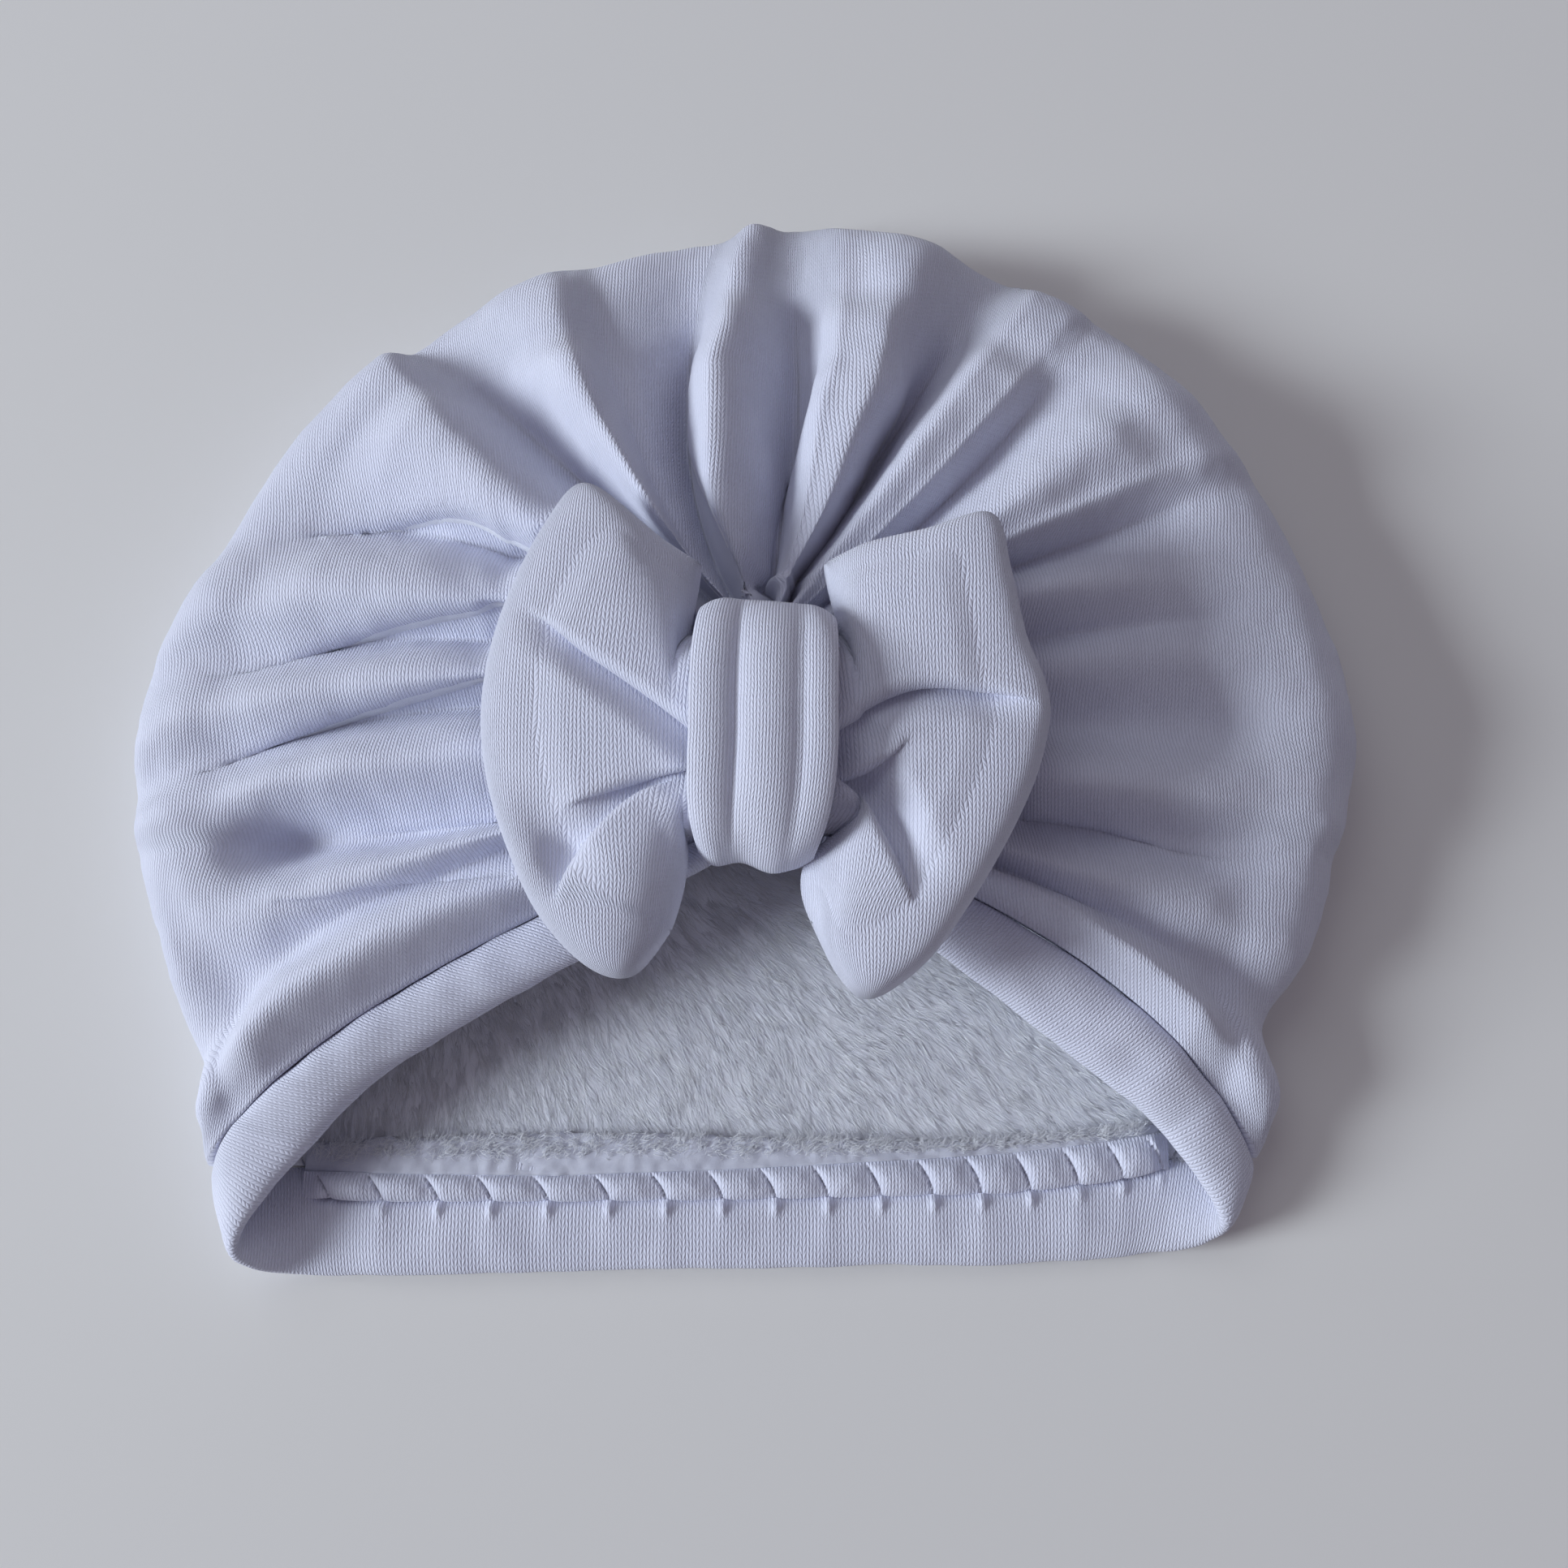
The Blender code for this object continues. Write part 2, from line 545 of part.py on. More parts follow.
def main():
    """Build every piece of the cap."""
    for old in list(bpy.data.objects):
        bpy.data.objects.remove(old, do_unlink=True)
    front_columns = FRONT_STEPS * (len(FRONT_FOLDS) - 1)
    hem_columns = HEM_STEPS * len(HEM_STATIONS)
    pieces = [
        bent_slab("crown_front", front_columns, FRONT_ROWS, front_point, WALL),
        bent_slab("crown_back", front_columns, BACK_ROWS, back_point, WALL),
        bent_tube("hem_band", hem_columns, HEM_SIDES, hem_point),
        bent_slab("bow", BOW_COLUMNS, BOW_ROWS, bow_point, 1.0),
        bent_slab("knot_band", KNOT_COLUMNS, KNOT_ROWS, knot_point, KNOT_WALL, ring=True),
    ]
    put_on_origin(pieces)


main()
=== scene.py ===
"""Looks of a baby's turban cap with a padded bow, lying on its back.

The front panel, back panel, hem, bow and knot band are bent from fine slabs by the same shape
functions and tables as the part's solids, in millimetres. Small folds, puckers, stitches and
the pile of the fleece are added here.
"""

import logging
import math
from dataclasses import dataclass
from enum import Enum
from functools import partial
from typing import Callable, NamedTuple, Sequence

import bmesh
import bpy
import numpy as np
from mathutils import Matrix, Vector, noise


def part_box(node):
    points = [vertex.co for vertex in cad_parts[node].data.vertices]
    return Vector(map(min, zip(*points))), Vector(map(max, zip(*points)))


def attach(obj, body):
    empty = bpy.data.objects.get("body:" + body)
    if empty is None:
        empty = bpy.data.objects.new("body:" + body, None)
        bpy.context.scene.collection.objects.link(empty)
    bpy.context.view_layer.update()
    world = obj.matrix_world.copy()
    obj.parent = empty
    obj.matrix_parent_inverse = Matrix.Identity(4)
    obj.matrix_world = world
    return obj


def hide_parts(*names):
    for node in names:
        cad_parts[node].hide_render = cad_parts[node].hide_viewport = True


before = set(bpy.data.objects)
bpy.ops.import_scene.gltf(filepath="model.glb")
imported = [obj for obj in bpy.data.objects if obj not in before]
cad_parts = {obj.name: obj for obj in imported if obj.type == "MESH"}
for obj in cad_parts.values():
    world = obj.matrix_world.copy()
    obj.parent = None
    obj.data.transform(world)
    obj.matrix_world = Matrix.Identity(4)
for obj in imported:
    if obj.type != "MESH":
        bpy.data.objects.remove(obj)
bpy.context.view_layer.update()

LOG = logging.getLogger("turban_cap")
UV_NAME = "cloth"
Value = float | np.ndarray
# One millimetre in metres.
MM = 0.001
# Vertices closer than this, in metres, become one.
MERGE = 1e-6
# Keeps the divisor of a unit vector above zero.
TINY = 1e-9
# Least length of a tuck's roll, in millimetres.
LEAST_ROLL = 1e-6
# A step of the cloth that runs outwards by less than this share counts as turned under.
LEAST_OUTWARD = 0.3


class Side(Enum):
    """Part of the opening that a hem station lies on."""

    APEX = "apex"
    LEFT = "left"
    BACK = "back"
    RIGHT = "right"


class Slot(Enum):
    """Material slots of the record."""

    JERSEY = "jersey"
    PILE = "pile"


class FrontFold(NamedTuple):
    """One fold line of the front panel, from the gather line out to the rim."""

    root_x: float
    root_y: float
    mid_x: float
    mid_y: float
    rim_deg: float
    rim_out: float
    root_z: float
    mid_z: float
    outer_z: float
    crest_z: float
    crease: float


class BowRow(NamedTuple):
    """One line of the bow seen from above, from its waist out to its edge."""

    mid_x: float
    mid_y: float
    tip_x: float
    tip_y: float


class Tuck(NamedTuple):
    """Rolled edge of a fold that lies over its neighbour, seen from above."""

    line: tuple
    radius: float
    spread: float
    fade_start: float
    fade_end: float


class Rib(NamedTuple):
    """One soft rib of the knot band: its place and half width across the band, and its height."""

    centre: float
    half_width: float
    height: float


class HemLine(NamedTuple):
    """Where the stitching, the folded edge and the raw edge of the hem lie at one x."""

    x: float
    stitch_y: float
    edge_y: float
    raw_y: float


class HemStation(NamedTuple):
    """One cross-section of the hem: where its seam lies, and its folded edge."""

    side: Side
    along: float
    fold_x: float
    fold_y: float
    fold_z: float
    thick: float


class Dent(NamedTuple):
    """Soft hollow (or swelling, where deep is negative) in the cloth, seen from above."""

    x: float
    y: float
    long_radius: float
    short_radius: float
    turn_deg: float
    deep: float


class Wave(NamedTuple):
    """Soft noise of one size: wavelength in millimetres, seed, and height."""

    wavelength: float
    seed: float
    height: float


class Spot(NamedTuple):
    """Small soft bump beside a joint of the hem: its place, half sizes and height."""

    x: float
    y: float
    half_x: float
    half_y: float
    height: float

    def share(self, x: np.ndarray, y: np.ndarray) -> np.ndarray:
        """Share of its height at places counted from the joint."""
        return np.exp(-(((x - self.x) / self.half_x) ** 2 + ((y - self.y) / self.half_y) ** 2))


# Columns: root x, y; middle x, y; rim angle, step out of the circle; heights at the root,
# middle, outer part and crest; sharpness of the valley. Clockwise from the lower left corner.
FRONT_FOLDS = tuple(FrontFold(*row) for row in (
    (3.1, -16.6, -52.0, -44.0, 216.6, 5.4, 17.2, 17.5, 14.5, 11.5, 0.8),
    (3.1, -15.0, -54.5, -37.2, 213.3, 3.2, 20.8, 24.5, 21.5, 14.0, 0.0),
    (3.1, -13.4, -52.5, -28.7, 208.5, -1.6, 17.5, 18.0, 14.5, 13.0, 0.3),
    (3.1, -11.6, -48.0, -23.5, 197.0, -1.8, 20.8, 23.0, 20.0, 17.5, 0.0),
    (3.1, -9.6, -47.0, -18.3, 188.5, 0.0, 17.0, 14.8, 12.0, 17.0, 0.2),
    (3.1, -7.2, -47.0, -9.5, 185.8, 0.3, 20.8, 24.8, 22.0, 18.5, 0.0),
    (3.1, -4.4, -46.5, 0.3, 182.5, 0.6, 17.0, 16.0, 15.0, 15.0, 0.9),
    (3.1, -2.0, -46.5, 5.0, 177.5, 0.7, 20.8, 24.2, 21.5, 18.5, 0.0),
    (3.1, 0.4, -46.0, 12.6, 172.0, 1.5, 17.0, 16.0, 15.0, 15.0, 0.8),
    (3.1, 2.6, -43.5, 18.0, 165.0, -0.3, 20.8, 24.2, 22.0, 18.5, 0.0),
    (3.1, 4.8, -43.0, 28.2, 155.5, -2.2, 17.0, 15.0, 14.0, 14.5, 0.9),
    (3.1, 6.8, -36.0, 33.5, 131.0, -2.6, 21.2, 24.5, 23.5, 20.0, 0.0),
    (3.1, 8.4, -26.3, 39.0, 127.0, -2.7, 17.0, 12.5, 11.0, 12.0, 0.8),
    (3.12, 9.3, -18.5, 37.0, 112.0, -3.2, 21.6, 25.5, 24.5, 20.5, 0.0),
    (3.18, 9.6, -14.5, 36.5, 105.5, -3.2, 18.0, 17.5, 16.5, 15.5, 0.3),
    (3.25, 9.75, -9.0, 42.0, 93.0, -1.2, 16.5, 11.0, 10.5, 12.5, 0.9),
    (3.32, 9.85, -3.8, 43.0, 89.2, 0.2, 21.6, 25.0, 23.0, 18.0, 0.0),
    (3.40, 9.9, 8.2, 44.0, 86.0, 0.4, 16.5, 11.0, 12.0, 14.5, 0.9),
    (3.44, 9.88, 12.6, 43.6, 79.5, 0.6, 21.0, 24.2, 22.8, 19.0, 0.0),
    (3.48, 9.85, 16.4, 42.6, 72.5, 0.8, 21.6, 25.0, 24.0, 21.0, 0.0),
    (3.55, 9.75, 20.2, 40.5, 63.2, 0.8, 16.5, 12.0, 11.5, 14.0, 0.9),
    (3.62, 9.6, 26.4, 38.2, 58.8, 1.0, 21.6, 24.4, 22.5, 19.0, 0.0),
    (3.65, 9.5, 30.0, 36.0, 55.2, 1.0, 21.0, 23.4, 22.3, 19.3, 0.0),
    (3.68, 9.3, 33.0, 34.6, 52.2, 1.0, 17.2, 17.5, 18.0, 18.5, 0.7),
    (3.7, 8.0, 40.5, 29.5, 42.0, 0.6, 21.2, 25.0, 25.0, 22.5, 0.0),
    (3.7, 6.6, 43.0, 26.5, 33.5, 0.6, 20.5, 23.0, 22.5, 21.0, 0.0),
    (3.7, 5.4, 44.5, 23.5, 29.0, 0.6, 17.0, 16.5, 16.5, 18.0, 0.7),
    (3.7, 3.2, 46.0, 16.5, 20.0, 0.6, 20.8, 24.5, 19.0, 19.0, 0.0),
    (3.7, 1.0, 47.0, 11.0, 14.5, 0.9, 17.5, 17.5, 17.5, 19.0, 0.6),
    (3.7, -1.6, 48.0, 6.0, 10.5, 1.1, 20.0, 20.8, 19.0, 19.8, 0.0),
    (3.7, -4.4, 48.5, -2.5, 3.5, 1.0, 17.0, 15.5, 16.0, 20.5, 0.1),
    (3.7, -7.2, 48.5, -12.0, -5.0, -1.2, 20.8, 24.0, 21.5, 20.0, 0.0),
    (3.7, -9.6, 47.0, -17.2, -9.5, -2.4, 17.0, 15.0, 15.8, 17.0, 0.3),
    (3.7, -11.6, 48.0, -25.5, -17.5, -3.6, 20.8, 22.0, 20.0, 17.5, 0.0),
    (3.7, -13.4, 49.5, -30.0, -26.0, -6.2, 18.5, 18.5, 16.0, 13.5, 0.5),
    (3.7, -15.0, 50.5, -34.0, -33.0, 1.4, 20.8, 24.0, 20.0, 14.0, 0.0),
    (3.7, -16.6, 49.0, -38.0, -37.0, 2.5, 17.2, 18.0, 15.0, 11.5, 0.8),
))

# Columns: place; half length and half width; turn; depth.
FRONT_DENTS = tuple(Dent(*row) for row in (
    (-67.6, -18.6, 7.0, 4.4, 20.0, 3.4),
    (-55.0, -16.6, 15.0, 3.6, 6.0, 2.6),
    (-79.5, -36.4, 8.0, 4.0, -45.0, 2.0),
    (85.5, -2.4, 6.0, 6.0, 0.0, -1.0),
    (84.0, -22.5, 5.0, 4.0, 0.0, -1.0),
))

# Columns: line, with the rolled fold on the left of its way; radius of the roll; spread of the
# hollow beside it; lengths over which it fades at both ends.
FRONT_TUCKS = tuple(Tuck(*row) for row in (
    (((-80.0, 26.4), (-70.0, 28.4), (-57.0, 30.6), (-44.0, 31.0), (-32.0, 25.0)),
     1.1, 7.0, 22.0, 0.0),
    (((-87.0, 4.6), (-76.4, 6.1), (-64.3, 10.8), (-52.0, 14.0), (-36.0, 15.2)),
     1.2, 7.0, 20.0, 0.0),
    (((-90.0, -14.0), (-81.4, -9.9), (-69.5, -4.2), (-57.5, -0.4), (-38.0, 3.6)),
     1.2, 7.0, 30.0, 0.0),
    (((-62.0, -18.6), (-54.0, -18.2), (-45.0, -17.6), (-36.0, -17.0)),
     0.5, 4.0, 14.0, 0.0),
    (((-74.0, -30.0), (-61.0, -29.2), (-49.0, -26.9), (-33.0, -26.5)),
     0.5, 3.0, 12.0, 0.0),
    (((-6.4, 66.0), (-8.6, 54.0), (-8.2, 42.0), (-4.5, 30.0), (0.5, 18.0)),
     0.9, 4.0, 14.0, 0.0),
    (((11.8, 60.0), (10.2, 48.6), (7.6, 40.0), (5.5, 33.0), (4.0, 20.0)),
     0.9, 3.5, 16.0, 0.0),
    (((9.0, 20.0), (14.6, 30.0), (20.4, 41.5), (25.6, 52.5), (31.0, 62.0)),
     0.9, 3.5, 0.0, 18.0),
    (((43.0, -16.7), (54.8, -18.7), (64.1, -21.5), (75.2, -22.6), (88.0, -19.8)),
     0.6, 5.0, 0.0, 34.0),
))

# Columns: middle x, y; tip x, y. From the upper edge down to the lower edge.
BOW_LEFT = tuple(BowRow(*row) for row in (
    (-6.6, 11.5, -5.8, 17.6),
    (-10.2, 13.5, -14.2, 23.2),
    (-14.6, 14.6, -22.8, 28.8),
    (-18.0, 11.6, -28.4, 22.0),
    (-20.3, 6.6, -32.9, 12.0),
    (-21.5, 0.8, -35.4, 3.0),
    (-21.9, -4.8, -36.2, -6.1),
    (-21.2, -10.9, -34.9, -15.7),
    (-19.6, -16.7, -31.8, -24.8),
    (-17.2, -22.4, -27.4, -33.6),
    (-14.0, -26.6, -20.8, -40.4),
    (-11.0, -28.2, -14.6, -41.4),
    (-7.4, -27.5, -9.4, -35.2),
))
BOW_RIGHT = tuple(BowRow(*row) for row in (
    (13.0, 11.5, 11.9, 17.6),
    (15.4, 12.8, 17.0, 20.2),
    (20.2, 13.2, 26.4, 22.1),
    (25.2, 13.2, 36.0, 24.2),
    (26.8, 8.6, 38.6, 15.8),
    (28.0, 2.4, 40.6, 5.4),
    (29.2, -3.6, 43.1, -3.9),
    (28.6, -8.4, 42.3, -10.4),
    (27.4, -13.2, 40.0, -17.0),
    (25.2, -18.4, 35.9, -25.0),
    (22.4, -23.6, 31.0, -32.8),
    (19.4, -28.6, 25.4, -40.0),
    (14.6, -31.0, 18.2, -44.6),
    (11.6, -29.6, 13.8, -41.8),
    (8.8, -26.6, 9.8, -34.0),
))

# Columns as in the front panel's table.
BOW_TUCKS = tuple(Tuck(*row) for row in (
    (((-31.5, 9.2), (-26.0, 6.4), (-20.0, 2.2), (-14.0, -1.8), (-5.0, -8.0)),
     1.7, 6.0, 12.0, 0.0),
    (((-25.0, -20.6), (-20.0, -18.2), (-14.5, -16.0), (-10.0, -14.8), (-4.0, -13.6)),
     1.2, 5.0, 12.0, 0.0),
    (((-8.0, -15.6), (-13.6, -18.2), (-18.6, -22.6), (-22.6, -27.6), (-25.0, -33.5)),
     1.0, 6.5, 6.0, 6.0),
    (((9.0, -9.6), (13.5, -7.2), (20.4, -3.4), (26.3, -2.0), (34.5, -2.8), (42.5, -5.6)),
     1.9, 6.5, 0.0, 11.0),
    (((9.0, -17.0), (14.0, -15.2), (18.0, -13.8), (21.6, -11.6), (23.8, -9.2)),
     0.9, 4.0, 0.0, 6.0),
    (((24.4, -34.0), (21.3, -28.6), (18.6, -23.0), (16.0, -18.6), (10.0, -13.4)),
     1.8, 8.0, 9.0, 0.0),
))
BOW_DENTS = tuple(Dent(*row) for row in (
    (-24.6, -23.8, 6.0, 3.4, -50.0, 2.8),
    (20.4, -20.0, 6.0, 3.0, -60.0, 2.4),
    (17.0, -15.6, 3.4, 2.4, 20.0, 1.8),
))

# Columns: place across, half width, height.
KNOT_RIBS = tuple(Rib(*row) for row in (
    (-0.74, 0.36, 1.5),
    (0.08, 0.45, 1.9),
    (0.76, 0.30, 1.3),
))

# Columns: side; place along the front panel's edge, or x along the back; folded edge; thickness.
HEM_STATIONS = tuple(HemStation(*row) for row in (
    (Side.APEX, 0.0, 3.4, -21.6, 18.6, 3.4),
    (Side.LEFT, 0.08, -6.8, -25.2, 19.0, 4.2),
    (Side.LEFT, 0.20, -21.0, -36.6, 17.8, 5.2),
    (Side.LEFT, 0.35, -38.0, -45.9, 14.8, 5.6),
    (Side.LEFT, 0.50, -53.5, -55.4, 12.0, 5.6),
    (Side.LEFT, 0.64, -64.0, -66.2, 11.8, 5.2),
    (Side.LEFT, 0.82, -72.6, -77.6, 11.4, 3.6),
    (Side.LEFT, 0.91, -71.6, -81.8, 8.0, 3.2),
    (Side.LEFT, 1.00, -64.5, -83.4, 2.2, 3.8),
    (Side.BACK, -48.0, -48.0, -83.6, 2.4, 4.6),
    (Side.BACK, -16.0, -16.0, -82.7, 2.4, 4.6),
    (Side.BACK, 18.0, 18.0, -82.2, 2.4, 4.6),
    (Side.BACK, 48.0, 48.0, -81.6, 2.4, 4.6),
    (Side.RIGHT, 1.00, 61.5, -80.2, 2.2, 3.8),
    (Side.RIGHT, 0.91, 68.6, -78.6, 4.6, 3.2),
    (Side.RIGHT, 0.82, 70.2, -75.0, 7.9, 3.6),
    (Side.RIGHT, 0.64, 62.5, -63.9, 10.4, 5.4),
    (Side.RIGHT, 0.50, 52.5, -55.0, 10.8, 5.4),
    (Side.RIGHT, 0.35, 39.0, -44.8, 13.4, 5.4),
    (Side.RIGHT, 0.20, 25.0, -34.2, 16.2, 5.0),
    (Side.RIGHT, 0.08, 13.4, -24.8, 19.0, 4.2),
))

# Where one pucker of the hem ends and the next begins, along the back.
HEM_JOINTS = (
    -62.3, -54.4, -46.0, -38.1, -29.7, -20.6, -12.1, -3.7, 4.2,
    12.0, 19.9, 27.7, 34.9, 42.2, 49.4, 56.1, 62.1,
)

# Columns: x; stitching, folded edge and raw edge.
HEM_LINES = tuple(HemLine(*row) for row in (
    (-67.0, -71.8, -68.4, -64.6),
    (-54.0, -72.4, -68.7, -63.6),
    (-28.0, -72.4, -69.0, -63.0),
    (0.0, -72.1, -68.0, -63.6),
    (28.0, -71.5, -66.5, -64.4),
    (40.0, -71.2, -65.7, -63.8),
    (56.0, -69.4, -63.9, -62.4),
    (64.0, -67.6, -62.6, -61.4),
))


def mix(a: Value, b: Value, t: Value) -> Value:
    """Straight blend from a to b."""
    return a + (b - a) * t


def clamp(share: Value) -> Value:
    """Shares held between 0 and 1."""
    return np.clip(share, 0.0, 1.0)


def fold_blend(t: float, crease_a: float, crease_b: float) -> float:
    """Blend between two folds: round at a ridge, and steeper at a sharp valley.

    Args:
        t: place between the folds, from 0 to 1.
        crease_a: sharpness of the fold at 0.
        crease_b: sharpness of the fold at 1.

    Returns:
        Share of the second fold.
    """
    soft = 0.5 - 0.5 * math.cos(math.pi * t)
    leaving_a = math.sin(0.5 * math.pi * t)
    reaching_b = 1.0 - math.cos(0.5 * math.pi * t)
    return (
        (1.0 - crease_a) * (1.0 - crease_b) * soft
        + crease_a * (1.0 - crease_b) * leaving_a
        + (1.0 - crease_a) * crease_b * reaching_b
        + crease_a * crease_b * t
    )


def through_three(a: Vector, b: Vector, c: Vector, s: float) -> Vector:
    """Read the curve through three points.

    Args:
        a: its point at 0.
        b: its point at one half.
        c: its point at 1.
        s: place along it.

    Returns:
        The point at s.
    """
    first = (1.0 - s) * (1.0 - 2.0 * s)
    second = 4.0 * s * (1.0 - s)
    third = s * (2.0 * s - 1.0)
    return a * first + b * second + c * third


def hermite(a: float | Vector, b: float | Vector, slope_a: float | Vector,
            slope_b: float | Vector, t: float) -> float | Vector:
    """Read a cubic between two numbers or vectors.

    Args:
        a: its value at 0.
        b: its value at 1.
        slope_a: its slope at 0.
        slope_b: its slope at 1.
        t: place along it.

    Returns:
        The value at t.
    """
    t2 = t * t
    t3 = t2 * t
    return (
        a * (2.0 * t3 - 3.0 * t2 + 1.0)
        + slope_a * (t3 - 2.0 * t2 + t)
        + b * (3.0 * t2 - 2.0 * t3)
        + slope_b * (t3 - t2)
    )


def superellipse(angle: float, fullness: float) -> tuple:
    """Point at an angle on an oval of half widths 1 that gets squarer with its fullness."""
    power = 2.0 / fullness
    return tuple(math.copysign(abs(v) ** power, v) for v in (math.cos(angle), math.sin(angle)))


def catmull(values: Sequence[float | Vector], position: float) -> float | Vector:
    """Read the smooth closed curve through some values.

    Args:
        values: numbers or vectors.
        position: place on the curve, counted in their indices.

    Returns:
        The number or vector there.
    """
    count = len(values)
    index = math.floor(position)
    before, start, end, after = (values[(index + k) % count] for k in (-1, 0, 1, 2))
    return hermite(start, end, (end - before) * 0.5, (after - start) * 0.5, position - index)


def height_along(stations: Sequence[float], heights: Sequence[float], s: float) -> float:
    """Read a smooth height curve that is level at its last station.

    Args:
        stations: where the heights are given, in rising order.
        heights: the height at each station.
        s: place on the curve.

    Returns:
        The height at s.
    """
    slopes = [(heights[1] - heights[0]) / (stations[1] - stations[0])]
    for k in range(1, len(stations) - 1):
        slopes.append((heights[k + 1] - heights[k - 1]) / (stations[k + 1] - stations[k - 1]))
    slopes.append(0.0)
    k = 0
    while k < len(stations) - 2 and s > stations[k + 1]:
        k += 1
    run = stations[k + 1] - stations[k]
    t = (s - stations[k]) / run
    return hermite(heights[k], heights[k + 1], slopes[k] * run, slopes[k + 1] * run, t)


def place_in_table(table: Sequence, u: float) -> tuple:
    """Find the rows of a table on both sides of a place.

    Args:
        table: the rows, evenly apart from 0 to 1.
        u: the place.

    Returns:
        The row before it, the row after it, and the share of the way between them.
    """
    position = u * (len(table) - 1)
    index = min(int(position), len(table) - 2)
    return table[index], table[index + 1], position - index


@dataclass(frozen=True)
class CapShape:
    """Main shape of the cap, in millimetres, from the same sizes as the part's solids."""

    wall: float = 2.2
    seam_gap: float = 0.35
    rim_radius: float = 93.0
    rim_centre_y: float = -9.0
    rim_shoulder: float = 13.0
    rim_turn_under: float = 10.0
    under_follows_out: float = 0.5
    widest_at: float = 0.5
    top_share: float = 0.62
    shoulder_share: float = 0.82
    middle: float = 0.45
    outer: float = 0.73
    hem_back_seam_y: float = -65.5
    hem_seam_gap: float = 0.15
    hem_fullness: float = 2.2
    hem_look_ahead: float = 0.05
    hem_fineness: int = 8
    hem_apex_seam: tuple = (3.4, -17.8, 17.6)
    hem_left_end: float = 8.15
    hem_right_end: float = 12.85
    solid_steps: int = 3
    solid_rows: int = 13

    def rim_at(self, u: float) -> tuple:
        """Find the rim.

        Args:
            u: place across the folds, 0 to 1.

        Returns:
            The widest point there, the level way inwards, and the turned-under width.
        """
        a, b, t = place_in_table(FRONT_FOLDS, u)
        angle = math.radians(mix(a.rim_deg, b.rim_deg, t))
        out = mix(a.rim_out, b.rim_out, fold_blend(t, 0.0, 0.0))
        outwards = Vector((math.cos(angle), math.sin(angle), 0.0))
        rim = Vector((0.0, self.rim_centre_y, 0.0)) + outwards * (self.rim_radius + out)
        under = self.rim_turn_under + self.under_follows_out * out
        if outwards.y < 0.0:
            return rim, Vector((-math.copysign(1.0, outwards.x), 0.0, 0.0)), under
        return rim, -outwards, under

    def front_point(self, u: float, w: float, depth: float) -> Vector:
        """Point of the front panel.

        Args:
            u: place across the folds, clockwise from the lower left corner, 0 to 1.
            w: place from the gathers over the rim to the seam, 0 to 1.
            depth: how far inside the outer face.

        Returns:
            The point in millimetres.
        """
        a, b, t = place_in_table(FRONT_FOLDS, u)
        near = fold_blend(t, a.crease, b.crease)
        far = fold_blend(t, 0.0, 0.0)
        rim, inwards, under = self.rim_at(u)
        root = Vector((mix(a.root_x, b.root_x, t), mix(a.root_y, b.root_y, t), 0.0))
        middle = Vector((mix(a.mid_x, b.mid_x, t), mix(a.mid_y, b.mid_y, t), 0.0))
        length = (rim - middle).length + (middle - root).length
        shoulder = 1.0 - self.rim_shoulder / length
        crest = mix(a.crest_z, b.crest_z, far)
        widest = self.widest_at * crest

        if w <= self.top_share:
            s = shoulder * w / self.top_share
            blend = mix(near, far, s)
            heights = [
                mix(a.root_z, b.root_z, blend),
                mix(a.mid_z, b.mid_z, blend),
                mix(a.outer_z, b.outer_z, blend),
                crest,
            ]
            point = through_three(root, middle, rim, s)
            point.z = height_along((0.0, self.middle, self.outer, shoulder), heights, s) - depth
            return point

        if w <= self.shoulder_share:
            share = (w - self.top_share) / (self.shoulder_share - self.top_share)
            turn = 0.5 * math.pi * share
            point = through_three(root, middle, rim, mix(shoulder, 1.0, math.sin(turn)))
            point += inwards * (depth * math.sin(turn))
            point.z = widest + (crest - depth - widest) * math.cos(turn)
            return point

        turn = 0.5 * math.pi * (w - self.shoulder_share) / (1.0 - self.shoulder_share)
        point = rim + inwards * mix(depth, under, 1.0 - math.cos(turn))
        point.z = widest - (widest - depth) * math.sin(turn)
        return point

    def front_edge(self, side: Side, w: float) -> Vector:
        """Middle of the front panel's wall along its lower left or lower right edge."""
        return self.front_point(0.0 if side is Side.LEFT else 1.0, w, 0.5 * self.wall)

    def station_seam(self, station: HemStation) -> Vector:
        """Find where the hem meets the panels.

        Args:
            station: one of its stations.

        Returns:
            The point in millimetres.
        """
        if station.side is Side.APEX:
            return Vector(self.hem_apex_seam)
        if station.side is Side.BACK:
            return Vector((station.along, self.hem_back_seam_y, 0.5 * station.thick))
        return self.front_edge(station.side, station.along)

    def hem_seam(self, position: float) -> Vector:
        """Read the seam of the hem.

        Args:
            position: place round the opening, counted in stations.

        Returns:
            The point in millimetres.
        """
        count = len(HEM_STATIONS)
        index = math.floor(position)
        t = position - index
        a = HEM_STATIONS[index % count]
        b = HEM_STATIONS[(index + 1) % count]
        if a.side is b.side and a.side is not Side.BACK:
            return self.front_edge(a.side, mix(a.along, b.along, t))
        return catmull([self.station_seam(station) for station in HEM_STATIONS], position)

    def hem_fold(self, position: float) -> Vector:
        """Folded edge of the hem at a place counted in stations."""
        return catmull([Vector((s.fold_x, s.fold_y, s.fold_z)) for s in HEM_STATIONS], position)

    def hem_ring(self, position: float, sides: int) -> np.ndarray:
        """Points round the cross-section of the hem.

        Args:
            position: place round the opening, counted in stations.
            sides: cells round the cross-section.

        Returns:
            The points, evenly apart, the first one repeated at the end, in millimetres.
        """
        def middle(p: float) -> Vector:
            """Middle of the band at a place."""
            return (self.hem_seam(p) + self.hem_fold(p)) * 0.5

